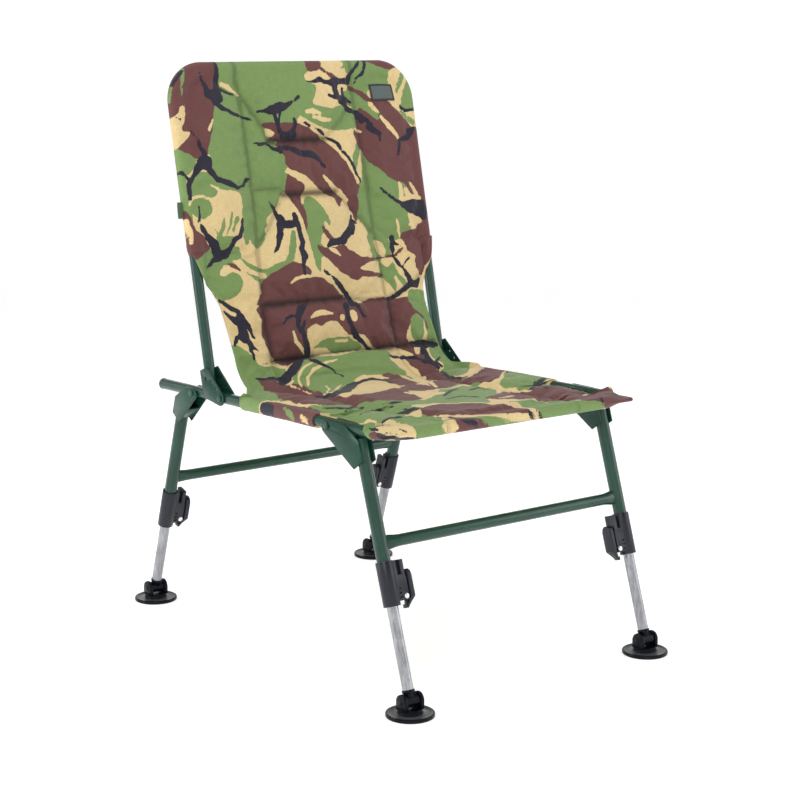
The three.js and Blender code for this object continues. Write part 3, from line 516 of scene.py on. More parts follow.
# U tube in a piece's XY plane, from y = start to a bar at y = end, hollow for a little way at both ends
def bentTube(radius, wall, half, start, end, bend, hollow=25, parts=4):
    bm = bmesh.new()
    down = 1 if end > start else -1
    size = radius / (radius - wall)
    straight = end - down * bend - start
    bmesh.ops.create_circle(bm, cap_ends=False, segments=32, radius=radius - wall)
    bmesh.ops.rotate(bm, verts=bm.verts[:], matrix=Matrix.Rotation(math.radians(90), 3, "X"))
    bmesh.ops.translate(bm, verts=bm.verts[:], vec=(-half, start + down * hollow, 0))
    ring = pushEdges(bm, bm.edges[:], (0, -down * hollow, 0))
    ring = stepEdges(bm, ring, size, -half, start)
    for side, run in ((-1, (0, straight, 0)), (1, (2 * half - 2 * bend, 0, 0))):
        for part in range(parts):
            ring = pushEdges(bm, ring, tuple(length / parts for length in run))
        corner = (side * (half - bend), end - down * bend, 0)
        ring = turnEdges(bm, ring, corner, (0, 0, 1), -down * math.pi / 2, 14)
    for part in range(parts):
        ring = pushEdges(bm, ring, (0, -straight / parts, 0))
    ring = stepEdges(bm, ring, 1 / size, half, start)
    pushEdges(bm, ring, (0, down * hollow, 0))
    bmesh.ops.holes_fill(bm, edges=openEdges(bm.edges), sides=0)
    return bm


# turned shape: profile of (radius, height) spun round Z
def turned(profile, segments=48, faceMaterial=None):
    own = bmesh.new()
    points = [own.verts.new((radius, 0, height)) for radius, height in profile]
    edges = [own.edges.new(pair) for pair in zip(points, points[1:])]
    bmesh.ops.spin(own, geom=points + edges, cent=(0, 0, 0), axis=(0, 0, 1), angle=2 * math.pi,
                   steps=segments, use_merge=True, use_duplicate=False)
    bmesh.ops.remove_doubles(own, verts=own.verts[:], dist=0.001)
    if profile[0] == profile[-1] or (profile[0][0] == 0 and profile[-1][0] == 0):
        bmesh.ops.recalc_face_normals(own, faces=own.faces[:])
    if faceMaterial:
        for face in own.faces:
            centre = face.calc_center_median()
            face.material_index = faceMaterial(math.hypot(centre.x, centre.y), centre.z)
    return own


def join(bm, other, matrix=None):
    if matrix is not None:
        other.transform(matrix)
    mesh = meshOf("joining", other)
    bm.from_mesh(mesh)
    bpy.data.meshes.remove(mesh)


# plate cut to an outline in Y and Z, from x = low to x = high
def cutPlate(outline, low, high, soft):
    bm = bmesh.new()
    loop = [bm.verts.new((low, y, z)) for y, z in outline]
    edges = [bm.edges.new((a, b)) for a, b in zip(loop, loop[1:] + loop[:1])]
    made = bmesh.ops.triangle_fill(bm, edges=edges, use_beauty=True, use_dissolve=False,
                                   normal=(1, 0, 0))["geom"]
    upper = bmesh.ops.extrude_face_region(bm, geom=facesIn(made), use_keep_orig=True)["geom"]
    bmesh.ops.translate(bm, verts=vertsIn(upper), vec=(high - low, 0, 0))
    bmesh.ops.recalc_face_normals(bm, faces=bm.faces[:])
    bmesh.ops.dissolve_limit(bm, angle_limit=math.radians(1), verts=bm.verts[:], edges=bm.edges[:])
    softEdges(bm, soft)
    return bm


alongX = Matrix.Rotation(math.radians(90), 4, "Y")


# what is drawn upwards along Z, set to point along +Z or -Z
def facing(end):
    return Matrix.Identity(4) if end > 0 else turnX(180)


# a domed head, on a round washer where one is asked for
def domed(radius, tall, washer=0.0, washerTall=0.0):
    rim = [(washer, 0), (washer, washerTall - 0.2), (washer - 0.2, washerTall)] if washer else []
    rise = [(radius, washerTall), (radius, washerTall + 0.35 * tall)]
    dome = [(radius * math.cos(a), washerTall + tall * (0.35 + 0.65 * math.sin(a)))
            for a in (math.radians(k) for k in (20, 40, 60, 75))]
    return turned([(0, 0)] + rim + rise + dome + [(0, washerTall + tall)], 32)


def shank(radius, reach, segments=20):
    return turned([(0, -reach), (radius, -reach), (radius, reach), (0, reach)], segments)


# shank along Z with a domed head on both its ends
def headedPin(radius, reach, headRadius, headTall, headLift=0.1):
    pin = shank(radius, reach)
    for end in (1, -1):
        join(pin, domed(headRadius, headTall), moved(0, 0, end * (reach + headLift)) @ facing(end))
    return pin


# seat rails and back tube

tubeWork = {"railRadius": 9.5, "wall": 1.5, "backFoot": 15.4, "capHead": 5.0, "capRadius": 9.9}


def makeRails(plan):
    chair = chairPlan
    rails = bentTube(plan["railRadius"], plan["wall"], chair["half"], 0, -chair["railLength"], chair["bend"])
    finishPiece("seatRails", rails, seatSpace, [paint], "seat_frame", "seat_frame_tube")
    hoop = bentTube(plan["railRadius"], plan["wall"], chair["half"], plan["backFoot"], chair["backHeight"],
                    chair["bend"])
    finishPiece("backHoop", hoop, backSpace @ turnX(90), [paint], "backrest", "backrest_tube")
    for name, side in sides:
        head, radius = plan["capHead"], plan["capRadius"]
        cap = turned([(0, -16), (7.6, -16), (7.6, 0.3), (radius, 0.3), (radius, head - 1.4),
                      (radius - 0.5, head - 0.5), (radius - 1.6, head), (4.2, head),
                      (3.7, head - 0.7), (0, head - 0.7)])
        place = seatSpace @ moved(side * chair["half"], 0, 0) @ turnX(-90)
        finishPiece(f"railEndCap_{name}", cap, place, [capPlastic], "seat_frame", f"rail_cap_{name}")


makeRails(tubeWork)

# bolts, rivets and pins: domed head outboard, nut or head inboard

boltWork = {
    "legCheek": 11.3, "backCheek": 9.8, "plate": 2.5, "gap": 0.3, "shank": 3.0, "head": 6.0,
    "headTall": 3.2, "nut": 5.5, "nutTall": 4.5, "washerTall": 0.9, "rivet": 2, "rivetHead": 3.0,
    "rivetTall": 1.8, "rivetUp": 30,
}


def makeBolt(name, place, side, cheek, node, plan):
    face = cheek + plan["plate"] + plan["gap"]
    bm = shank(plan["shank"], face, 24)
    head = domed(plan["head"] - 0.2, plan["headTall"] - 0.9, plan["head"], plan["washerTall"])
    join(bm, head, moved(0, 0, side * face) @ facing(side))
    nut = turned([(0, 0), (plan["nut"], 0), (plan["nut"], plan["nutTall"] - 0.8),
                  (plan["nut"] - 0.7, plan["nutTall"] - 0.2), (3.4, plan["nutTall"] - 0.2),
                  (3.1, plan["nutTall"]), (0, plan["nutTall"])], 6)
    join(bm, nut, moved(0, 0, -side * face) @ facing(-side))
    finishPiece(name, bm, place @ alongX, [paint], "seat_frame", node, merge=0)


def makeBolts(plan):
    pivots = (("rear_leg", "rearPivot", "legCheek"), ("backrest", "backPivot", "backCheek"),
              ("front_leg", "frontPivot", "legCheek"))
    for name, side in sides:
        for label, distance, cheek in pivots:
            place = seatSpace @ moved(side * chairPlan["half"], -chairPlan[distance], 0)
            makeBolt(f"pivotBolt_{label}_{name}", place, side, plan[cheek], f"{label}_{name}_bolt", plan)
        reach = plan["backCheek"] + plan["plate"]
        rivet = headedPin(plan["rivet"], reach, plan["rivetHead"], plan["rivetTall"], 0)
        place = backSpace @ moved(side * chairPlan["half"], 0, plan["rivetUp"])
        finishPiece(f"backBracketRivet_{name}", rivet, place @ alongX, [paint], "backrest",
                    f"backrest_{name}_rivet", merge=0)


makeBolts(boltWork)
print("stage 3: rails, caps and bolts")

# CAD plates and mouldings that stay: their edges are softened and they take a finish

keepPlan = {"bracket": 0.55, "moulding": 0.7}


def dressCad(node, material, soft):
    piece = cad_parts[node]
    piece.data.materials.clear()
    piece.data.materials.append(material)
    weld = piece.modifiers.new("weld", "WELD")
    weld.merge_threshold = 0.00002
    bevel = piece.modifiers.new("softEdge", "BEVEL")
    bevel.width, bevel.segments, bevel.limit_method = soft * mm, 2, "ANGLE"
    bevel.angle_limit = math.radians(35)
    bevel.harden_normals = False
    piece.data.shade_smooth()


for side in ("left", "right"):
    dressCad(f"backrest_{side}_bracket", platePaint, keepPlan["bracket"])
    for legName in ("front", "rear"):
        dressCad(f"{legName}_{side}_bracket", platePaint, keepPlan["bracket"])
        dressCad(f"{legName}_{side}_lock", plastic, keepPlan["moulding"])
        dressCad(f"{legName}_{side}_lever", plastic, keepPlan["moulding"])

# legs: outer tube, crossbar, inner tube, knuckle, foot and their rivets

legWork = {
    "radius": 11, "wall": 1.5, "topGap": 9.8, "lockTop": 206, "into": 36, "barAt": 178, "innerRadius": 9,
    "innerTop": 155, "innerEnd": 15.3, "rivet": 2.4, "rivetHalf": 9.6, "rivetHead": 4.3, "rivetTall": 1.9,
    "rivetAcross": 24, "rivetDown": 58, "barRadius": 9.5, "barFlat": 26, "barTall": 12.2, "barThin": 5.6,
    "barInto": 2.5,
}
footWork = {
    "disc": 38.5, "rim": 34.2, "boss": 19.7, "bossTop": -12.0, "floor": -24.0, "earHalf": 12.6,
    "earFrom": 12.0, "earTo": 19.4, "earSoft": 1.9, "barrel": 10.0, "barrelHalf": 11.7, "pin": 3.0,
    "pinHalf": 18.5, "pinHead": 4.2, "pinTall": 1.4,
}


def openTube(radius, wall, low, high):
    inner = radius - wall
    return turned([(inner, low), (radius, low), (radius, high), (inner, high), (inner, low)], 36)


# bar along X between two legs, pressed flat towards its ends
def makeCrossbar(name, y, z, splay, plan):
    bm = bmesh.new()
    end = chairPlan["half"] - plan["radius"] + plan["barInto"]
    bmesh.ops.create_circle(bm, cap_ends=True, segments=32, radius=plan["barRadius"])
    bmesh.ops.rotate(bm, verts=bm.verts[:], matrix=Matrix.Rotation(math.radians(90), 3, "Y"))
    bmesh.ops.translate(bm, verts=bm.verts[:], vec=(-end, 0, 0))
    ring = bm.edges[:]
    flat = plan["barFlat"]
    near = [share * flat for share in (0, 0.35, 0.7, 1)]
    steps = near + [end] + [2 * end - step for step in near[::-1]]
    for before, now in zip(steps, steps[1:]):
        ring = pushEdges(bm, ring, (now - before, 0, 0))
    bmesh.ops.holes_fill(bm, edges=openEdges(bm.edges), sides=0)
    for vert in bm.verts:
        share = float(ease(1 - (end - abs(vert.co.x)) / flat))
        vert.co.y *= 1 + (plan["barThin"] / plan["barRadius"] - 1) * share
        vert.co.z *= 1 + (plan["barTall"] / plan["barRadius"] - 1) * share
    space = spaceAt(0, y, z, splay) @ moved(0, 0, -plan["barAt"])
    finishPiece(f"{name}Crossbar", bm, space, [paint], f"{name}_legs", f"{name}_crossbar")


# dished round disc with a boss, and two ears that hold the knuckle on its pin
def makeFoot(label, x, y, plan):
    floor, rim, disc, boss = plan["floor"], plan["rim"], plan["disc"], plan["boss"]
    profile = [(0, floor), (disc - 1.2, floor), (disc - 0.3, floor + 0.5), (disc, floor + 1.6),
               (disc, floor + 4.4), (disc - 0.6, floor + 5.6), (disc - 1.8, floor + 6.1),
               (rim + 1.2, floor + 6.1), (rim, floor + 5.4),
               (rim - 1.2, floor + 4.6), (27, floor + 4.7), (21.4, floor + 5.2), (boss + 0.2, floor + 5.8),
               (boss - 0.3, floor + 7), (boss - 0.4, plan["bossTop"] - 1.4), (boss - 1.8, plan["bossTop"]),
               (0, plan["bossTop"])]

    def pick(radius, height):
        return 1 if 21 < radius < rim + 0.6 and height > floor + 3 else 0

    bm = turned(profile, 64, pick)
    ear = plan["earHalf"]
    round14 = [(ear * math.cos(k * math.pi / 14), ear * math.sin(k * math.pi / 14)) for k in range(1, 14)]
    outline = [(ear, plan["bossTop"] - 2), (ear, 0), *round14, (-ear, 0), (-ear, plan["bossTop"] - 2)]
    for end in (1, -1):
        low, high = sorted((end * plan["earFrom"], end * (plan["earTo"] - 0.6)))
        join(bm, cutPlate(outline, low, high, plan["earSoft"]))
    space = spaceAt(x, y, chairPlan["pinHeight"], 0)
    body = f"{label}_shoe"
    finishPiece(f"mudFoot_{label}", bm, space, [blackPlastic, greyDisc], body, f"{label}_foot",
                merge=0)
    pin = headedPin(plan["pin"], plan["pinHalf"], plan["pinHead"], plan["pinTall"])
    finishPiece(f"footPin_{label}", pin, space @ alongX, [blackPlastic], body, f"{label}_foot_pin",
                merge=0)


# collar and plug below the inner leg, with the barrel that turns between the foot's ears
def makeKnuckle(label, space, plan):
    collar = turned([(0, 0), (8.6, 0), (8.6, 9.5), (9.2, 11.4), (10, 12.2), (10.3, 13.2), (10.3, 16.2),
                     (9.6, 17.2), (8.7, 17.4), (7, 17.4), (7, 38), (0, 38)], 40)
    radius, reach = plan["barrel"], plan["barrelHalf"]
    barrel = turned([(0, -reach), (radius - 0.8, -reach), (radius, -reach + 0.8), (radius, reach - 0.8),
                     (radius - 0.8, reach), (0, reach)], 40)
    join(collar, barrel, alongX)
    finishPiece(f"knuckle_{label}", collar, space, [blackPlastic], f"{label}_leg", f"{label}_knuckle",
                merge=0)


def makeLegs(plan):
    for name in ("front", "rear"):
        y, z, splay, length = legPlace(name)
        makeCrossbar(name, y, z, splay, plan)
        lean = math.radians(abs(splay + chairPlan["railTilt"]))
        top = (plan["topGap"] + plan["radius"] * math.sin(lean)) / math.cos(math.radians(splay))
        for sideName, side in sides:
            label = f"{name}_{sideName}"
            space = spaceAt(side * chairPlan["half"], y, z, splay)
            outer = openTube(plan["radius"], plan["wall"], -plan["lockTop"] - plan["into"], -top)
            finishPiece(f"outerLeg_{label}", outer, space, [paint], f"{name}_legs", f"{label}_outer_leg")
            inner = openTube(plan["innerRadius"], plan["wall"], -length + plan["innerEnd"],
                             -plan["innerTop"])
            finishPiece(f"innerLeg_{label}", inner, space, [aluminium], f"{label}_leg",
                        f"{label}_inner_leg")
            makeKnuckle(label, space @ moved(0, 0, -length), footWork)
            rivet = headedPin(plan["rivet"], plan["rivetHalf"], plan["rivetHead"], plan["rivetTall"])
            down = plan["lockTop"] + plan["rivetDown"]
            place = space @ moved(-side * plan["rivetAcross"], 0, -down) @ turnX(90)
            finishPiece(f"leverRivet_{label}", rivet, place, [steel], f"{name}_legs", f"{label}_lever_rivet",
                        merge=0)
            makeFoot(label, side * chairPlan["half"], y + length * math.sin(math.radians(splay)), footWork)


makeLegs(legWork)
print("stage 4: legs, locks and feet")

# the sling: one cloth surface in (x, v), where v is the height up the back and runs on along the seat

slingPlan = {
    "half": 262.2, "corner": 72.2, "frontCorner": 10, "top": 576.2, "bendTop": 60, "bendDown": 263,
    "seatRise": 3, "low": 24, "lowFrom": 260, "lowReach": 200, "crease": 45, "sag": 9, "sleeve": 12.2,
    "frontTight": 2.0, "sleeveFade": 24, "tubeRoom": 13.2, "hem": 27, "edge": 2.3, "bead": 0.5,
    "backSleeveEnd": 243, "railSleeveStart": -60, "notchHalf": 230, "notchFrom": -274.6, "notchTo": -411.6,
    "waist": [(262.2, 255), (260, 243), (247.5, 206), (229, 176), (219, 151), (214, 100), (211, 50),
              (209, 0), (222, -20), (240, -40), (255, -57), (262.2, -60)],
    "waistRight": [(262.2, 255), (261, 243), (252, 206), (236, 176), (225, 151), (222, 125), (224, 100),
                   (229, 60), (233, 20), (236, 0), (241, -20), (250, -40), (258, -57), (262.2, -60)],
    "seamLevels": (433, 337, 144), "columns": (34, 82, 34), "seamHalf": 3.4, "puffReach": 34,
    "behind": 0.55, "step": 3.3, "simStep": 7.0, "simCap": 9.0, "simFrom": (22, 6),
}
up = np.array([math.sin(backLean), math.cos(backLean)])
forward = np.array([-math.cos(backLean), math.sin(backLean)])
railUp = np.array([math.sin(railTilt), math.cos(railTilt)])


# how far the cloth leaves the plane of the back tube as it comes down to the seat
def leavesTube(v, plan=slingPlan):
    return plan["low"] * np.maximum(0, (plan["lowFrom"] - v) / plan["lowReach"]) ** 1.5


# the cloth's middle seen from the side: v, then y and z, then the way that points out of its front
def centreLine(plan):
    foot = np.array(backFoot)
    rows = []
    for t in np.arange(plan["top"], plan["bendTop"], -2):
        rows.append((t, *(foot + up * t + forward * leavesTube(t)), *forward))
    top = foot + up * plan["bendTop"] + forward * plan["low"]
    end = np.array(onRail(plan["bendDown"])) + (0, plan["seatRise"])
    fall = (top[1] - end[1]) / math.cos(backLean)
    knee = np.array([top[0] - fall * math.sin(backLean), end[1]])
    v, last = float(plan["bendTop"]), top
    for k in np.linspace(0, 1, 61):
        here = (1 - k) ** 2 * top + 2 * k * (1 - k) * knee + k * k * end
        slope = 2 * (1 - k) * (knee - top) + 2 * k * (end - knee)
        slope /= np.linalg.norm(slope)
        v -= np.linalg.norm(here - last)
        last = here
        rows.append((v, *here, slope[1], -slope[0]))
    for d in np.arange(plan["bendDown"] + 2, 680, 2):
        rows.append((v - (d - plan["bendDown"]), *(np.array(onRail(d)) + (0, plan["seatRise"])), *railUp))
    return np.array(rows)[::-1], v


centre, seatV = centreLine(slingPlan)
frontV = seatV - (chairPlan["railLength"] + slingPlan["sleeve"] - slingPlan["bendDown"])


def seatShare(v):
    return np.clip((60 - v) / (60 - seatV), 0, 1)


def slingPoint(x, v, depth):
    parts = [np.interp(v, centre[:, 0], centre[:, k]) for k in (1, 2, 3, 4)]
    size = np.hypot(parts[2], parts[3])
    hang = ease((v - frontV - 20) / 60)
    depth = depth - slingPlan["sag"] * seatShare(v) * hang * np.maximum(0, 1 - (x / 250) ** 2)
    y, z = (parts[k] + parts[k + 2] / size * depth for k in (0, 1))
    return np.stack([x + 0 * v, y, z], -1) * mm


def waistAt(v, plan=slingPlan):
    return [np.interp(np.asarray(v, float), *np.array(plan[side])[::-1, ::-1].T)
            for side in ("waist", "waistRight")]


# the waist is cut wider on the right, so the cloth's middle wanders a little
def middleAt(v):
    left, right = waistAt(v)
    return (right - left) / 2


def halfWidth(v, plan=slingPlan):
    v = np.asarray(v, float)
    half = sum(waistAt(v)) / 2
    for reach, level, sign in ((plan["corner"], plan["top"], 1), (plan["frontCorner"], frontV, -1)):
        past = np.clip(sign * (v - level) + reach, 0, reach)
        arc = plan["half"] - reach + np.sqrt(np.maximum(0, reach ** 2 - past ** 2))
        half = np.where(past > 0, arc, half)
    return np.where((v < plan["notchFrom"] - 0.1) & (v > plan["notchTo"] + 0.1), plan["notchHalf"], half)


# distance inside the cloth's outline, or inside its sleeve's, measured square to it at the corners
def insideBy(x, v, plan=slingPlan, sleeve=False):
    half = halfWidth(v, plan)
    x = x - middleAt(v)
    gap = half - np.abs(x)
    for end, sign in ((plan["top"], 1), (frontV, -1)):
        reach = plan["corner"] if sleeve or sign > 0 else plan["frontCorner"]
        past = sign * (v - end) + reach
        aside = np.abs(x) - (plan["half"] - reach)
        toArc = reach - np.hypot(np.maximum(aside, 0), np.maximum(past, 0))
        gap = np.where(past > 0, np.where(aside > 0, toArc, np.abs(end - v)), gap)
        near = (past > -60) & (past <= 0)
        gap = np.where(near, np.minimum(gap, np.abs(end - v)), gap)
    notch = (v < plan["notchFrom"] - 0.1) & (v > plan["notchTo"] + 0.1)
    gap = np.where(notch, np.minimum(half - np.abs(x), np.abs(frontV - v)), gap)
    return gap if sleeve else np.maximum(gap, 0)


def sleeved(v, plan=slingPlan):
    back = v > plan["backSleeveEnd"] + 0.1
    rails = (v < plan["railSleeveStart"] - 0.1) & (v > plan["notchFrom"] - 0.1)
    return back | rails | (v < plan["notchTo"] - 0.1)


# seams as lines in (x, v), each with the strength of the painted shade along it
leftSeam = [(-129, 576), (-123, 520), (-121, 450), (-121, 300), (-125, 250), (-129, 190), (-138, 144),
            (-137, 45), (-137, -466)]
rightSeam = [(121, 576), (124, 480), (129, 380), (131, 250), (133, 190), (131, 146), (134, 130), (134, 45),
             (134, -466)]
seamLines = [
    (leftSeam[:7], 0.42), (leftSeam[6:8], 0.75), (leftSeam[7:], 0.18),
    (rightSeam[:7], 0.42), (rightSeam[6:8], 0.75), (rightSeam[7:], 0.18),
    ([(-73, 433), (48, 433)], 0.95), ([(-57, 337), (57, 337)], 0.95), ([(-121, 350), (-60, 347)], 0.3),
    ([(-138, 144), (36, 144)], 0.95), ([(36, 144), (80, 136), (134, 134)], 0.45),
    ([(134, 134), (165, 142), (200, 157), (218, 170)], 0.5),
    ([(-137, 45), (-50, 45)], 1.0), ([(-50, 45), (78, 45)], 0.8), ([(78, 45), (218, 45)], 1.0),
    ([(-123, 520), (-100, 485), (-80, 456), (-73, 433)], 0.45), ([(122, 505), (90, 468), (48, 433)], 0.2),
    ([(-57, 337), (-72, 316), (-96, 280), (-124, 250)], 0.35), ([(57, 337), (80, 312), (131, 252)], 0.35),
]


# distance to the nearest seam, and how far along it that is
def seamOffsets(x, v, lines=seamLines):
    best = np.full(x.shape, 1e3)
    along = np.zeros(x.shape)
    for line, _ in lines:
        done = 0.0
        for (ax, av), (bx, bv) in zip(line, line[1:]):
            length = math.hypot(bx - ax, bv - av)
            share = np.clip(((x - ax) * (bx - ax) + (v - av) * (bv - av)) / length ** 2, 0, 1)
            gap = np.hypot(x - ax - share * (bx - ax), v - av - share * (bv - av))
            nearer = gap < best
            best = np.where(nearer, gap, best)
            along = np.where(nearer, done + share * length, along)
            done += length
    return best, along


# painted shade along the seams at each point: strongest on the seams, where the filling is drawn in
def furrowShade(x, v):
    shade = np.zeros(x.shape)
    for line, strength in seamLines:
        gap = seamOffsets(x, v, [(line, strength)])[0]
        reach = 3.2 + 3.6 * strength
        shade = np.maximum(shade, strength * np.exp(-(gap / reach) ** 2))
    return shade


# how far the filling stands up in each part of the quilt
puffPlan = {"half": 131, "middle": 6.5, "aside": 4.2, "lumbar": 13.0, "waist": 3.0, "bend": 7.0, "seat": 4.0}


def puffHeight(x, v, plan=puffPlan):
    middle = np.abs(x) < plan["half"]
    crease, lumbarTop = slingPlan["crease"], slingPlan["seamLevels"][-1]
    height = np.where(middle, plan["middle"], plan["aside"])
    height = np.where(middle & (v < lumbarTop) & (v > crease), plan["lumbar"], height)
    height = np.where(~middle & (v < 230) & (v > -40), plan["waist"], height)
    return np.where(middle & (v <= crease), plan["seat"] + plan["bend"] * ease((v + 70) / 90), height)


# how far one sheet stands from the cloth's middle: round a tube, at a bare edge, or over the filling
def slingDepth(x, v, side, plan=slingPlan):
    inside, inTube = insideBy(x, v, plan), insideBy(x, v, plan, True)
    full = plan["sleeve"] - plan["frontTight"] * (v < plan["notchTo"])
    out = full - inTube
    tip = np.maximum(full, out + inside)
    touch = full ** 2 / tip
    tent = np.sqrt(np.maximum(0, full ** 2 - touch ** 2)) * inside / np.maximum(0.1, tip - touch)
    toHem = np.minimum(np.abs(v - plan["backSleeveEnd"] - 5), np.abs(v - plan["railSleeveStart"] + 5))
    hem = 0.8 * np.exp(-(toHem / 4) ** 2)
    tube = np.sqrt(np.maximum(0, full ** 2 - np.maximum(0, out) ** 2)) * (1 + hem / 12)
    tube = np.where(out > touch, np.maximum(tube, tent), tube)
    edge, bead = plan["edge"], plan["bead"]
    thin = np.sqrt(np.maximum(0, edge ** 2 - np.maximum(0, edge - inside) ** 2))
    thin = thin + bead * ease(inside / 2) * (1 - ease((inside - 6) / 2))
    seam = seamOffsets(x, v)[0]
    rise = 1 - (1 - np.clip(seam / plan["puffReach"], 0, 1)) ** 2
    share = 1.0 if side > 0 else plan["behind"]
    flat = plan["seamHalf"] + puffHeight(x, v) * rise * share
    hold = ease((inTube - full) / plan["sleeveFade"])
    held = np.maximum(tube, thin) * (1 - hold) + flat * hold
    free = thin * (1 - ease((inside - 6) / 24)) + flat * ease((inside - 6) / 24)
    inSleeve = sleeved(v, plan)
    depth = np.where(inSleeve, held, free) * side
    drop = np.where(inSleeve, 1 - hold, 0) * plan["seatRise"] * (v < 0)
    aside = np.abs(np.abs(x) - chairPlan["half"]) - 1
    need = np.sqrt(np.maximum(0, plan["tubeRoom"] ** 2 - np.maximum(0, aside) ** 2))
    over = np.interp(v, [plan["railSleeveStart"], -20, 60, 170, plan["backSleeveEnd"]], [1, 0.9, 0, 0.9, 1])
    already = np.where(v > plan["bendTop"], leavesTube(v), plan["seatRise"])
    lift = np.where(inSleeve, 0, np.maximum(0, need * over - already))
    return depth - drop + lift


# one column of vertices for every value here: close together at the edges, exact on the long seams
edgeSteps = [0, 0.8, 2.5, 5.5, 9, 12.2, 16, 21, 27]


def seamX(v):
    places = []
    for line in (leftSeam, rightSeam):
        points = np.array(line[::-1], float)
        places.append(np.interp(v, points[:, 1], points[:, 0]))
    return places


def slingColumns(v):
    half, middle = halfWidth(v), middleAt(v)
    left, right = seamX(v)
    steps = np.array(edgeSteps)
    rows = [(middle - half)[:, None] + steps[None, :]]
    lines = [middle - half + steps[-1], left, right, middle + half - steps[-1]]
    for start, end, count in zip(lines, lines[1:], slingPlan["columns"]):
        k = np.linspace(0, 1, count + 1)[1:]
        rows.append(start[:, None] + (end - start)[:, None] * k[None, :])
    rows.append((middle + half)[:, None] - steps[None, ::-1][:, 1:])
    return np.concatenate(rows, 1)


# and one row for every value here, exact on the cross seams and on both sides of every step in the outline
def slingRows(plan):
    steps = edgeSteps
    upper, middle, lumbar = plan["seamLevels"]
    pairs = [plan["top"] - steps[-1], upper, middle, plan["backSleeveEnd"] + 0.3]
    rows = [plan["top"] - s for s in steps]

    def run(start, end):
        count = max(1, round(abs(start - end) / plan["step"]))
        return [start + (end - start) * k / count for k in range(1, count + 1)]

    for start, end in zip(pairs, pairs[1:]):
        rows += run(start, end)
    knots = [plan["backSleeveEnd"], lumbar, plan["crease"], seatV, plan["railSleeveStart"]]
    rows.append(knots[0])
    for start, end in zip(knots, knots[1:]):
        rows += run(start, end)
    rows.append(plan["railSleeveStart"] - 0.3)
    rows += run(plan["railSleeveStart"] - 0.3, plan["notchFrom"])
    rows.append(plan["notchFrom"] - 0.3)
    rows += run(plan["notchFrom"] - 0.3, plan["notchTo"] + 0.3)
    rows.append(plan["notchTo"])
    rows += run(plan["notchTo"], frontV + steps[-1])
    rows += [frontV + s for s in steps[-2::-1]]
    return np.array(rows)


def gridMesh(bm, wide, tall):
    return bmesh.ops.create_grid(bm, x_segments=wide, y_segments=tall, size=1)["verts"]


def gridPlaces(verts, wide, tall):
    spots = np.array([(v.co.x, v.co.y) for v in verts])
    column = np.rint((spots[:, 0] + 1) / 2 * wide).astype(int)
    row = np.rint((1 - spots[:, 1]) / 2 * tall).astype(int)
    return row, column


# the filled cloth settles under a light pressure, held at its seams and sleeves
simPlan = {
    "frames": 20,
    "cloth": {
        "quality": 6, "mass": 0.25, "tension_stiffness": 12, "compression_stiffness": 12,
        "shear_stiffness": 4, "bending_stiffness": 0.6, "air_damping": 2, "shrink_min": -0.03,
        "use_pressure": True, "uniform_pressure_force": 4.0,
    },
}


def settleCloth(plan):
    low, high = frontV + 3, slingPlan["top"] - 3
    tall = int((high - low) / slingPlan["simStep"])
    wide = int(2 * slingPlan["half"] / slingPlan["simStep"])
    vRow = np.linspace(high, low, tall + 1)
    xCol = np.linspace(-1, 1, wide + 1)
    bm = bmesh.new()
    for sheet in range(2):
        gridMesh(bm, wide, tall)
    count = (wide + 1) * (tall + 1)
    row, column = gridPlaces(bm.verts, wide, tall)
    side = np.where(np.arange(2 * count) < count, 1, -1)
    mesh = meshOf("clothSettling", bm)
    v = vRow[row]
    x = middleAt(v) + xCol[column] * (halfWidth(v) - 2)
    depth = np.where(side > 0, slingDepth(x, v, 1), slingDepth(x, v, -1))
    rest = slingPoint(x, v, depth)
    mesh.vertices.foreach_set("co", rest.astype(np.float32).ravel())
    piece = putIn("clothSettling", mesh)
    mesh.update()
    drawnForward = np.array([mesh.polygons[0].normal.y, mesh.polygons[0].normal.z]) @ forward > 0
    bm = bmesh.new()
    bm.from_mesh(mesh)
    wrong = [f for f in bm.faces if (side[f.verts[0].index] > 0) != drawnForward]
    bmesh.ops.reverse_faces(bm, faces=wrong)
    bm.to_mesh(mesh)
    bm.free()
    seam = seamOffsets(x, v)[0]
    inside = insideBy(x, v, sleeve=True)
    held = (seam < 3.7) | (inside < np.where(sleeved(v), 30, 8)) | (row == 0) | (row == tall)
    pins = piece.vertex_groups.new(name="held")
    pins.add(np.nonzero(held)[0].tolist(), 1.0, "REPLACE")
    cloth = piece.modifiers.new("cloth", "CLOTH")
    cloth.settings.vertex_group_mass = "held"
    for key, value in plan["cloth"].items():
        setattr(cloth.settings, key, value)
    cloth.settings.effector_weights.gravity = 0
    cloth.collision_settings.use_collision = False
    cloth.point_cache.frame_start = 1
    cloth.point_cache.frame_end = plan["frames"]
    for frameNumber in range(1, plan["frames"] + 1):
        scene.frame_set(frameNumber)
    settled = piece.evaluated_get(bpy.context.evaluated_depsgraph_get()).to_mesh()
    places = np.zeros(len(settled.vertices) * 3, np.float32)
    settled.vertices.foreach_get("co", places)
    scene.frame_set(1)
    shift = places.reshape(-1, 3) / mm - rest / mm
    length = np.linalg.norm(shift, axis=1, keepdims=True)
    print(f"cloth moved {length.mean():.2f} mm on average, {length.max():.2f} at most")
    shift *= np.minimum(1, slingPlan["simCap"] / np.maximum(length, 1e-6))
    fields = np.zeros((2, tall + 1, wide + 1, 3))
    fields[np.where(side > 0, 0, 1), row, column] = shift
    piece.evaluated_get(bpy.context.evaluated_depsgraph_get()).to_mesh_clear()
    bpy.data.objects.remove(piece)
    return {"fields": fields, "v": vRow, "wide": wide}


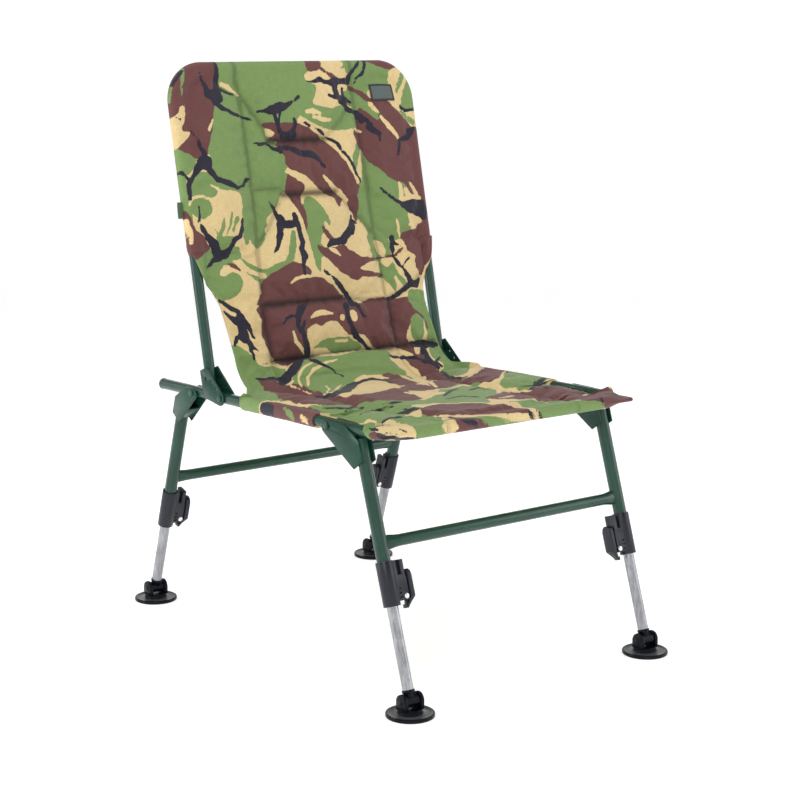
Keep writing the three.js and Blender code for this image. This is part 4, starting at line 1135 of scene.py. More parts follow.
# values between the points of a coarse grid, on a smooth curve through them both ways
def softGrid(values, rows, columns):
    tall, wide = values.shape[:2]

    def weights(t):
        return [((-t + 2) * t - 1) * t / 2, (((3 * t - 5) * t) * t + 2) / 2, ((-3 * t + 4) * t + 1) * t / 2,
                ((t - 1) * t * t) / 2]

    r0, c0 = np.floor(rows).astype(int), np.floor(columns).astype(int)
    wr, wc = weights(rows - r0), weights(columns - c0)
    total = np.zeros((*rows.shape, values.shape[-1]))
    for a in range(4):
        ra = np.clip(r0 + a - 1, 0, tall - 1)
        for b in range(4):
            cb = np.clip(c0 + b - 1, 0, wide - 1)
            total += (wr[a] * wc[b])[..., None] * values[ra, cb]
    return total


def settledBy(settling, x, v, side):
    if settling is None:
        return np.zeros((*x.shape, 3))
    rows = np.interp(-v, -settling["v"], np.arange(len(settling["v"])))
    columns = (np.clip((x - middleAt(v)) / (halfWidth(v) - 2), -1, 1) + 1) / 2 * settling["wide"]
    shift = softGrid(settling["fields"][0 if side > 0 else 1], rows, columns)
    inside = insideBy(x, v, sleeve=True)
    hold = ease((inside - np.where(sleeved(v), *slingPlan["simFrom"])) / 10)
    return shift * hold[..., None]


# small folds that run into the seams, and the soft unevenness of the filling
wrinklePlan = {
    "pucker": 1.44, "puckerReach": 10, "puckerPitch": 9.5, "lumps": 1.5, "lumpSize": 0.042, "creases": 0.9,
    "behind": 0.6, "foldAcross": 26, "foldAlong": 60, "foldWide": 0.055,
}


def wrinkles(x, v, side, plan=wrinklePlan):
    seam, along = seamOffsets(x, v)
    inside = insideBy(x, v)
    lump, fold, wave = [], [], []
    for a, b, s in zip(x.ravel() * mm, v.ravel() * mm, along.ravel()):
        lumpSpot = Vector((a / plan["lumpSize"], b / plan["lumpSize"], side * 3.1))
        lump.append(noise.fractal(lumpSpot, 0.6, 2.1, 3))
        fold.append(noise.noise(Vector((a * plan["foldAcross"] + 5, b * plan["foldAlong"], side * 7.7))))
        wave.append(noise.noise(Vector((s / plan["puckerPitch"], 0.4 * side, a * 3))))
    lump, fold, wave = (np.array(k).reshape(x.shape) for k in (lump, fold, wave))
    calm = ease((inside - 3) / 14)
    tight = np.where(sleeved(v) & (inside < 30), 0.35, 1.0)
    pucker = plan["pucker"] * wave * np.exp(-((seam - 6) / plan["puckerReach"]) ** 2)
    crease = -plan["creases"] * np.exp(-(fold / plan["foldWide"]) ** 2)
    crease = crease * ease((seam - 4) / 14) * ease(lump + 0.6)
    return (plan["lumps"] * lump * ease(seam / 14) + pucker + crease) * calm * tight


# how much thinner the front sheet is where back and seat lie on each other when folded
roomPlan = {"middle": 5.2, "aside": 2.6}


def foldRoom(x, v, plan):
    seat = ease((v + 152) / 38) * ease((-22 - v) / 34)
    back = ease((132 - v) / 38) * ease((v - 26) / 18)
    across = plan["aside"] + (plan["middle"] - plan["aside"]) * ease((150 - np.abs(x)) / 35)
    return across * (seat + back) * ease((insideBy(x, v) - 3) / 14)


def clothPieces(settling):
    vRows = slingRows(slingPlan)
    xGrid = slingColumns(vRows)
    vGrid = np.repeat(vRows[:, None], xGrid.shape[1], 1)
    sheets = []
    for side in (1, -1):
        depth = slingDepth(xGrid, vGrid, side)
        depth = depth + wrinkles(xGrid, vGrid, side) * side * (1 if side > 0 else wrinklePlan["behind"])
        if side > 0:
            depth = depth - foldRoom(xGrid, vGrid, roomPlan)
        sheets.append(slingPoint(xGrid, vGrid, depth) + settledBy(settling, xGrid, vGrid, side) * mm)
    return vRows, xGrid, vGrid, sheets


# the printed pattern, in millimetres of (x, v): closed outlines, ovals, and brush strokes with their widths
camoShapes = {}
camoShapes["greenField"] = {
    "loops": [
        [(-163, 583), (26, 583), (26, 561), (17, 542), (37, 530), (31, 510), (23, 497), (42, 491), (67, 489),
         (93, 493), (104, 492), (120, 478), (121, 455), (116, 451), (88, 448), (59, 451), (34, 456),
         (13, 465), (0, 473), (-8, 476), (-17, 467), (-78, 464), (-76, 450), (-73, 440), (-61, 430),
         (-59, 413), (-52, 406), (-50, 393), (-47, 379), (-49, 364), (-51, 350), (-57, 340), (-69, 322),
         (-85, 305), (-97, 298), (-102, 275), (-110, 257), (-124, 246), (-135, 250), (-139, 262),
         (-145, 253), (-156, 263), (-154, 290), (-152, 319), (-154, 346), (-179, 348), (-194, 352),
         (-201, 341), (-218, 340), (-238, 345), (-253, 343), (-253, 371), (-232, 385), (-211, 383),
         (-202, 399), (-202, 423), (-191, 453), (-182, 487), (-163, 523)],
        [(113, 583), (157, 581), (172, 571), (191, 563), (206, 559), (205, 534), (199, 527), (157, 518),
         (146, 503), (134, 512), (119, 528), (111, 535), (118, 545), (109, 559)],
        [(104, 520), (121, 520), (134, 510), (148, 495), (162, 478), (171, 466), (167, 462), (155, 472),
         (145, 483), (137, 487), (126, 482), (117, 490), (104, 500), (98, 511)],
        [(250, 539), (239, 519), (232, 501), (229, 486), (245, 480), (286, 480), (286, 544)],
        [(96, 391), (102, 405), (120, 420), (123, 408), (116, 395), (106, 379), (100, 371)],
        [(128, 403), (142, 387), (156, 374), (171, 362), (195, 347), (197, 329), (191, 317), (197, 304),
         (211, 299), (205, 285), (209, 272), (203, 262), (190, 268), (185, 262), (184, 245), (173, 240),
         (163, 247), (158, 220), (151, 213), (148, 230), (139, 242), (130, 244), (127, 232), (135, 212),
         (117, 209), (111, 229), (107, 244), (118, 262), (110, 275), (100, 290), (105, 310), (102, 335),
         (111, 348), (120, 362)],
        [(134, 205), (140, 196), (149, 191), (159, 201), (163, 189), (172, 174), (186, 160), (178, 150),
         (167, 165), (157, 174), (158, 160), (155, 146), (141, 165), (132, 179)],
        [(-14, 325), (-2, 330), (12, 316), (21, 297), (28, 281), (24, 275), (17, 282), (11, 273), (6, 260),
         (3, 238), (-1, 221), (-6, 204), (-9, 193), (-14, 199), (-17, 214), (-20, 238), (-22, 268),
         (-21, 297)],
        [(-292, 426), (-262, 422), (-243, 414), (-231, 404), (-233, 392), (-250, 379), (-259, 383),
         (-292, 390)],
        [(-292, 386), (-257, 382), (-252, 344), (-256, 329), (-253, 309), (-258, 298), (-292, 300)],
        [(-290, 243), (-254, 237), (-226, 248), (-213, 240), (-207, 230), (-194, 235), (-177, 249),
         (-167, 252), (-164, 240), (-168, 227), (-189, 224), (-201, 219), (-212, 206), (-204, 202),
         (-190, 206), (-178, 202), (-172, 189), (-176, 177), (-183, 168), (-201, 162), (-219, 160),
         (-240, 190), (-258, 215), (-289, 225)],
        [(-210, 262), (-196, 272), (-174, 268), (-176, 255), (-196, 245)],
        [(180, 140), (196, 147), (217, 138), (227, 120), (222, 92), (216, 75), (224, 51), (206, 48),
         (206, 65), (212, 72), (212, 85), (205, 98), (190, 111), (183, 125)],
        [(-50, 58), (-37, 68), (-17, 72), (12, 72), (41, 63), (57, 49), (28, 44), (-2, 46), (-15, 53),
         (-34, 58)],
        [(-212, 82), (-196, 75), (-186, 64), (-176, 54), (-172, 44), (-161, 36), (-140, 37), (-131, 30),
         (-121, 22), (-130, 10), (-153, 10), (-171, 15), (-184, 13), (-181, -4), (-198, -61), (-220, -114),
         (-233, -155), (-240, -138), (-235, -101), (-257, -120), (-268, -111), (-279, -78), (-283, -59),
         (-285, -60), (-231, 23), (-232, 60)],
        [(-113, 14), (-97, 26), (-67, 42), (-51, 37), (-24, 33), (8, 33), (46, 39), (89, 39), (106, 29),
         (106, 8), (106, -12), (109, -36), (82, -95), (97, -44), (78, -40), (57, -38), (21, -34), (2, -37),
         (-17, -47), (-42, -61), (-75, -90), (-96, -95), (-101, -84), (-105, -67), (-111, -46), (-120, -36),
         (-123, -20), (-118, -1)],
        [(-228, -220), (-201, -237), (-164, -225), (-118, -213), (-101, -239), (-75, -259), (-54, -273),
         (-42, -298), (-74, -313), (-97, -321), (-99, -345), (-116, -351), (-132, -346), (-124, -365),
         (-106, -378), (-121, -425), (-139, -456.3), (-150, -465.2), (-142, -468.0), (-151, -476.8),
         (-189, -480.5), (-201, -465.8), (-199, -443), (-191, -400), (-205, -388), (-242, -413),
         (-254, -414), (-234, -358), (-227, -316), (-227, -274), (-237, -250)],
        [(51, -209), (74, -210), (138, -182), (139, -221), (86, -315), (45, -336), (25, -371), (-6, -357),
         (-29, -333), (-61, -322), (-87, -308), (-24, -274), (20, -240)],
        [(-94, -454.4), (-67, -457.2), (-40, -463.2), (-17, -466.3), (10, -469.2), (47, -477.9),
         (34, -493.8), (-31, -489.8), (-58, -489.6), (-70, -467.8)],
        [(273, -138), (275, -161), (274, -207), (266, -264), (236, -268), (181, -311), (159, -320),
         (159, -292), (155, -263), (155, -243), (181, -220)],
        [(42, -396), (65, -398), (78, -421), (96, -439), (139, -427), (145, -457.4), (173, -465.4),
         (190, -466.8), (185, -482.0), (142, -485.8), (95, -488.7), (62, -483.6), (50, -466.3), (39, -454.0),
         (33, -439)],
        [(209, 39), (224, 41), (249, 40), (256, 17), (252, -20), (255, -40), (241, -55), (185, -120),
         (160, -122), (161, -97), (171, -68), (195, -20), (192, -4), (195, 18)],
        [(-286, -415), (-250, -336), (-221, -350), (-214, -360), (-240, -412), (-249, -433), (-264, -443),
         (-280, -416), (-287, -417)],
        [(-120, -329), (-116, -301), (-129, -288), (-130, -256), (-118, -240), (-101, -267), (-98, -301)],
        [(183, 141), (210, 146), (226, 135), (228, 106), (231, 69), (231, 41), (214, 47), (208, 75),
         (203, 95), (184, 114)],
        [(182, 304), (198, 291), (208, 276), (212, 263), (198, 256), (183, 248), (176, 269)],
    ],
    "ovals": [(-233, 321, 22, 17)],
    "strokes": [
        ([(-168, 231), (-152, 217), (-130, 207), (-113, 203), (-96, 207), (-77, 214), (-63, 227), (-58, 244),
          (-52, 266)], [6, 7, 7, 10, 10, 10, 12, 12, 9]),
        ([(-156, 202), (-140, 193), (-126, 186)], [3, 6, 5]),
        ([(-192, 301), (-196, 285), (-206, 270)], [5, 6, 6]),
        ([(-165, 300), (-177, 280)], [6, 4]),
        ([(-257, 547), (-267, 519)], [7, 9]),
        ([(235, 544), (226, 527)], [7, 4]),
        ([(232, 475), (251, 457)], [3, 7]),
        ([(204, 344), (205, 321)], [4, 3]),
        ([(100, 559), (110, 565)], [3, 5]),
    ],
}
camoShapes["brownField"] = {
    "loops": [
        [(-208, 583), (-171, 583), (-166, 559), (-160, 529), (-173, 507), (-182, 492), (-190, 466),
         (-190, 456), (-197, 441), (-205, 426), (-209, 409), (-229, 407), (-243, 416), (-260, 424),
         (-253, 433), (-241, 443), (-232, 454), (-246, 455), (-250, 462), (-242, 471), (-239, 487),
         (-235, 503), (-246, 497), (-258, 482), (-276, 480), (-266, 511), (-253, 544), (-230, 574)],
        [(29, 583), (56, 583), (59, 571), (54, 561), (41, 556), (26, 556), (23, 567)],
        [(-82, 463), (-72, 466), (-46, 465), (-14, 463), (-1, 459), (15, 452), (33, 440), (49, 428),
         (59, 418), (70, 404), (77, 393), (84, 384), (91, 371), (97, 360), (103, 350), (110, 347),
         (105, 335), (102, 320), (102, 300), (96, 280), (89, 286), (86, 300), (82, 312), (74, 322),
         (56, 306), (52, 319), (44, 329), (28, 338), (11, 350), (-5, 365), (-21, 373), (-40, 381),
         (-49, 390), (-49, 403), (-59, 423), (-54, 432), (-72, 437), (-57, 447), (-74, 456)],
        [(-46, 372), (-40, 374), (-30, 365), (-15, 355), (-10, 345), (-15, 338), (-22, 324), (-21, 310),
         (-20, 297), (-22, 266), (-30, 287), (-37, 310), (-45, 332), (-52, 341), (-50, 354)],
        [(155, 500), (190, 497), (210, 482), (234, 464), (247, 448), (288, 439), (288, 329), (264, 310),
         (246, 317), (239, 329), (227, 345), (219, 344), (231, 326), (227, 321), (214, 331), (205, 345),
         (193, 348), (169, 361), (154, 375), (140, 387), (132, 401), (125, 414), (116, 430), (113, 447),
         (126, 451), (122, 462), (126, 476), (135, 486), (145, 483), (159, 470), (172, 474), (165, 486)],
        [(154, 577), (197, 583), (222, 575), (229, 561), (211, 557), (186, 562)],
        [(-137, 143), (-133, 165), (-128, 185), (-108, 198), (-87, 207), (-68, 213), (-50, 213), (-36, 207),
         (-28, 196), (-32, 187), (-18, 185), (-2, 179), (18, 165), (31, 152), (35, 143)],
        [(-139, 143), (-143, 120), (-148, 94), (-145, 70), (-135, 50), (-124, 35), (-67, 32), (-59, 58),
         (-64, 84), (-56, 96), (-41, 101), (-31, 96), (-15, 102), (-2, 101), (7, 98), (14, 88), (22, 77),
         (42, 72), (47, 75), (58, 72), (74, 58), (89, 46), (136, 47), (161, 51), (157, 61), (168, 80),
         (174, 91), (189, 95), (204, 90), (207, 75), (212, 69), (214, 80), (207, 96), (187, 110), (181, 121),
         (176, 131), (150, 132), (136, 136), (99, 137), (67, 129), (47, 134), (35, 143)],
        [(-4, 244), (3, 238), (16, 236), (31, 236), (50, 239), (60, 230), (75, 220), (90, 214), (123, 212),
         (149, 214), (167, 216), (182, 225), (186, 223), (175, 213), (164, 209), (140, 208), (122, 207),
         (95, 202), (80, 197), (78, 192), (90, 188), (117, 184), (136, 181), (131, 175), (102, 177),
         (81, 177), (67, 174), (52, 179), (36, 189), (21, 204), (6, 219), (-4, 232)],
        [(188, 250), (206, 257), (228, 262), (241, 271), (288, 275), (289, 200), (253, 205), (244, 195),
         (235, 185), (226, 172), (218, 178), (210, 195), (211, 210), (195, 217), (189, 234)],
        [(-301, 330), (-262, 320), (-253, 301), (-246, 284), (-232, 275), (-227, 262), (-220, 250),
         (-238, 243), (-262, 232), (-300, 240)],
        [(147, 47), (178, 47), (167, 25), (158, 19), (150, 26)],
        [(-181, 17), (-161, 10), (-146, 0), (-133, -13), (-122, -23), (-112, -41), (-105, -67), (-112, -106),
         (-116, -147), (-104, -166), (-84, -175), (-43, -168), (10, -147), (39, -143), (47, -169),
         (47, -206), (11, -213), (-11, -198), (-25, -238), (-40, -274), (-75, -270), (-103, -248),
         (-122, -212), (-186, -242), (-225, -221), (-228, -168), (-225, -131), (-197, -62), (-179, -5)],
        [(124, 52), (144, 52), (166, 40), (182, 24), (179, -3), (187, -23), (157, -91), (153, -125),
         (160, -157), (202, -130), (254, -85), (257, -144), (185, -207), (157, -214), (138, -182),
         (67, -214), (44, -204), (64, -154), (136, -41), (143, -6), (144, 17), (160, 17), (145, 31),
         (127, 42)],
        [(57, -33), (77, -28), (85, -53), (73, -98), (69, -127), (26, -155), (37, -106), (44, -67)],
        [(-108, -359), (-79, -337), (-49, -333), (-21, -350), (11, -375), (7, -427), (25, -446),
         (30, -464.2), (-5, -461.6), (-36, -456.7), (-62, -446), (-95, -430), (-111, -406), (-110, -379)],
        [(-117, -414), (-104, -441), (-88, -457.2), (-70, -465.4), (-55, -470.9), (-65, -498.9),
         (-94, -487.1), (-120, -478.0), (-121, -463.6), (-116, -447)],
        [(43, -333), (82, -323), (141, -286), (156, -295), (162, -314), (220, -273), (203, -332),
         (209, -342), (210, -378), (244, -391), (251, -411), (269, -412), (280, -412), (259, -460.1),
         (257, -485.3), (257, -488.4), (256, -489.7), (253, -488.8), (227, -490.5), (207, -477.2),
         (190, -466.4), (175, -463.4), (153, -460.1), (141, -438), (107, -439), (86, -425), (80, -394),
         (66, -372), (49, -357)],
        [(-235, -112), (-240, -162), (-236, -196), (-232, -231), (-227, -250), (-264, -287), (-273, -268),
         (-268, -220), (-268, -185), (-268, -151)],
        [(-254, -429), (-247, -440), (-252, -461.5), (-254, -485.5), (-292, -423)],
        [(254, 318), (272, 281), (258, 242), (246, 258), (240, 285), (244, 313)],
    ],
    "ovals": [],
    "strokes": [
        ([(52, 563), (71, 550), (94, 539)], [5, 8, 6]),
        ([(118, 525), (135, 517), (151, 501), (168, 494)], [6, 10, 8, 6]),
        ([(11, 271), (21, 256), (29, 248)], [6, 9, 8]),
        ([(-194, 221), (-184, 216), (-174, 209)], [4, 8, 3]),
        ([(-255, 503), (-238, 506)], [6, 3]),
    ],
}
camoShapes["sandField"] = {
    "loops": [
    ],
    "ovals": [(42, 108, 8, 12), (17, 106, 5, 6), (172, 29, 6, 8), (89, 525, 6, 5)],
    "strokes": [
        ([(-156, 536), (-141, 530), (-121, 514)], [6, 8, 2]),
        ([(-187, 473), (-198, 455)], [2, 5]),
        ([(-48, 377), (-30, 371), (-13, 361), (5, 348), (27, 332)], [4, 10, 9, 10, 12]),
        ([(-208, 359), (-196, 353), (-194, 345)], [3, 4, 3]),
        ([(31, 366), (48, 350), (65, 335), (80, 320)], [4, 8, 9, 6]),
        ([(173, 468), (189, 450), (211, 427)], [5, 9, 5]),
        ([(116, 449), (132, 443)], [4, 3]),
        ([(125, 405), (117, 385), (113, 360)], [6, 7, 4]),
        ([(197, 344), (197, 314)], [5, 7]),
        ([(-9, 469), (14, 459), (43, 440), (58, 425)], [5, 5, 3, 3]),
        ([(68, 417), (75, 407)], [3, 3]),
        ([(81, 398), (85, 391)], [4, 3]),
        ([(82, 388), (90, 378)], [2, 4]),
        ([(8, 483), (21, 484), (36, 479)], [6, 9, 5]),
        ([(22, 473), (42, 468), (65, 467)], [5, 7, 5]),
        ([(-243, 301), (-236, 285)], [7, 3]),
        ([(-75, 178), (-62, 186), (-43, 189), (-28, 186)], [3, 5, 5, 3]),
        ([(-91, 91), (-89, 74), (-76, 59), (-68, 51)], [4, 6, 6, 4]),
        ([(53, 71), (72, 53), (83, 45)], [4, 7, 4]),
        ([(-48, 112), (-34, 118), (-17, 119), (-3, 116)], [4, 9, 9, 4]),
        ([(19, 234), (29, 229), (39, 220)], [4, 8, 3]),
        ([(180, 278), (183, 262), (187, 245)], [4, 5, 3]),
        ([(209, 268), (237, 271)], [6, 2]),
        ([(-215, 148), (-202, 138), (-196, 128)], [3, 4, 2]),
        ([(-1, 66), (24, 65)], [4, 3]),
        ([(-61, 23), (-86, 13), (-103, -2), (-115, -21), (-117, -35)], [2.4, 3.6, 5.0, 3.9, 1.8]),
        ([(-14, 21), (-44, 15), (-72, 3), (-90, -16), (-107, -41)], [2.5, 5.8, 6.0, 4.9, 2.6]),
        ([(-76, -50), (-81, -68), (-98, -82)], [3.1, 2.8, 2.7]),
        ([(-42, -49), (-59, -61), (-90, -93)], [2.0, 4.0, 3.5]),
        ([(-9, -42), (13, -39), (39, -39), (57, -50)], [2.2, 3.0, 4.6, 5.0]),
        ([(-100, -159), (-37, -101), (-3, -90), (12, -104), (-4, -160)], [4.8, 29.7, 45.0, 35.0, 10.0]),
        ([(-136, 3), (-130, -22), (-120, -45), (-113, -59)], [2.0, 2.7, 2.3, 3.6]),
        ([(-235, -106), (-237, -158), (-230, -199), (-219, -235)], [6.3, 7.0, 4.9, 2.4]),
        ([(-261, -240), (-262, -249), (-264, -263)], [0.6, 1.2, 2.5]),
        ([(103, 3), (120, -5), (130, -18), (131, -42)], [20.0, 35.0, 35.0, 25.0]),
        ([(118, 39), (139, 35), (158, 22)], [14.6, 8.7, 4.2]),
        ([(111, -72), (80, -136), (50, -197)], [7.5, 10.5, 5.1]),
        ([(148, -38), (100, -128)], [2.1, 10.0]),
        ([(181, -130), (217, -97), (258, -58)], [7.2, 15.3, 0.9]),
        ([(-24, -209), (-17, -233), (-1, -245), (16, -250)], [7.5, 15.0, 20.0, 20.0]),
        ([(-68, -315), (-44, -327), (-18, -346), (9, -364), (27, -388), (17, -434)], [3.0, 4.0, 4.5, 4.5,
         5.0, 1.3]),
        ([(-117, -393), (-108, -433), (-66, -455.1), (-32, -464.0), (0, -465.6), (29, -466.8)], [3.0, 4.0,
         4.5, 1.6, 1.7, 1.6]),
        ([(-143, -465.6), (-131, -466.0), (-119, -466.3)], [3.3, 2.4, 1.5]),
        ([(-93, -463.8), (-79, -466.0)], [1.3, 0.9]),
        ([(-244, -434), (-234, -448), (-219, -459.1), (-207, -466.1)], [18.9, 33.9, 21.3, 5.1]),
        ([(-286, -415), (-286, -413), (-229, -359), (-216, -360), (-217, -379)], [2.3, 12.5, 6.3, 7.5,
         10.0]),
        ([(154, -228), (187, -208), (248, -147)], [3.9, 3.4, 1.9]),
        ([(38, -212), (64, -223), (141, -206), (151, -247), (148, -293), (156, -321)], [5.0, 5.0, 7.5, 5.0,
         9.2, 6.3]),
        ([(184, -427), (218, -408)], [7.5, 3.6]),
        ([(60, -354), (86, -353)], [5.0, 7.5]),
        ([(191, 1), (199, -15), (197, -25), (187, -27)], [7.4, 10.3, 5.5, 3.7]),
        ([(-261, 302), (-258, 282), (-256, 263)], [4.7, 7.6, 2.2]),
        ([(-261, 277), (-259, 262)], [1.1, 1.8]),
    ],
}
camoShapes["leafField"] = {
    "loops": [
    ],
    "ovals": [(185, 74, 16, 19)],
    "strokes": [
        ([(-230, 567), (-236, 544), (-242, 516)], [7, 6, 3]),
        ([(132, 502), (146, 487), (167, 465)], [10, 11, 6]),
        ([(-257, -188), (-261, -208), (-263, -222)], [2.9, 2.2, 1.9]),
        ([(-151, -461.2), (-129, -444), (-116, -447)], [1.5, 8.1, 5.0]),
        ([(-255, 533), (-260, 518), (-262, 506)], [1.3, 2.2, 0.8]),
        ([(-174, 311), (-180, 291), (-192, 272)], [2.3, 3.5, 2.8]),
        ([(-214, 287), (-204, 272)], [2.2, 2.7]),
        ([(239, 546), (232, 529), (222, 514)], [8.1, 5.8, 3.8]),
        ([(189, 84), (185, 63)], [31.0, 24.9]),
        ([(226, 477), (238, 465), (249, 453)], [5.6, 6.3, 4.6]),
    ],
}
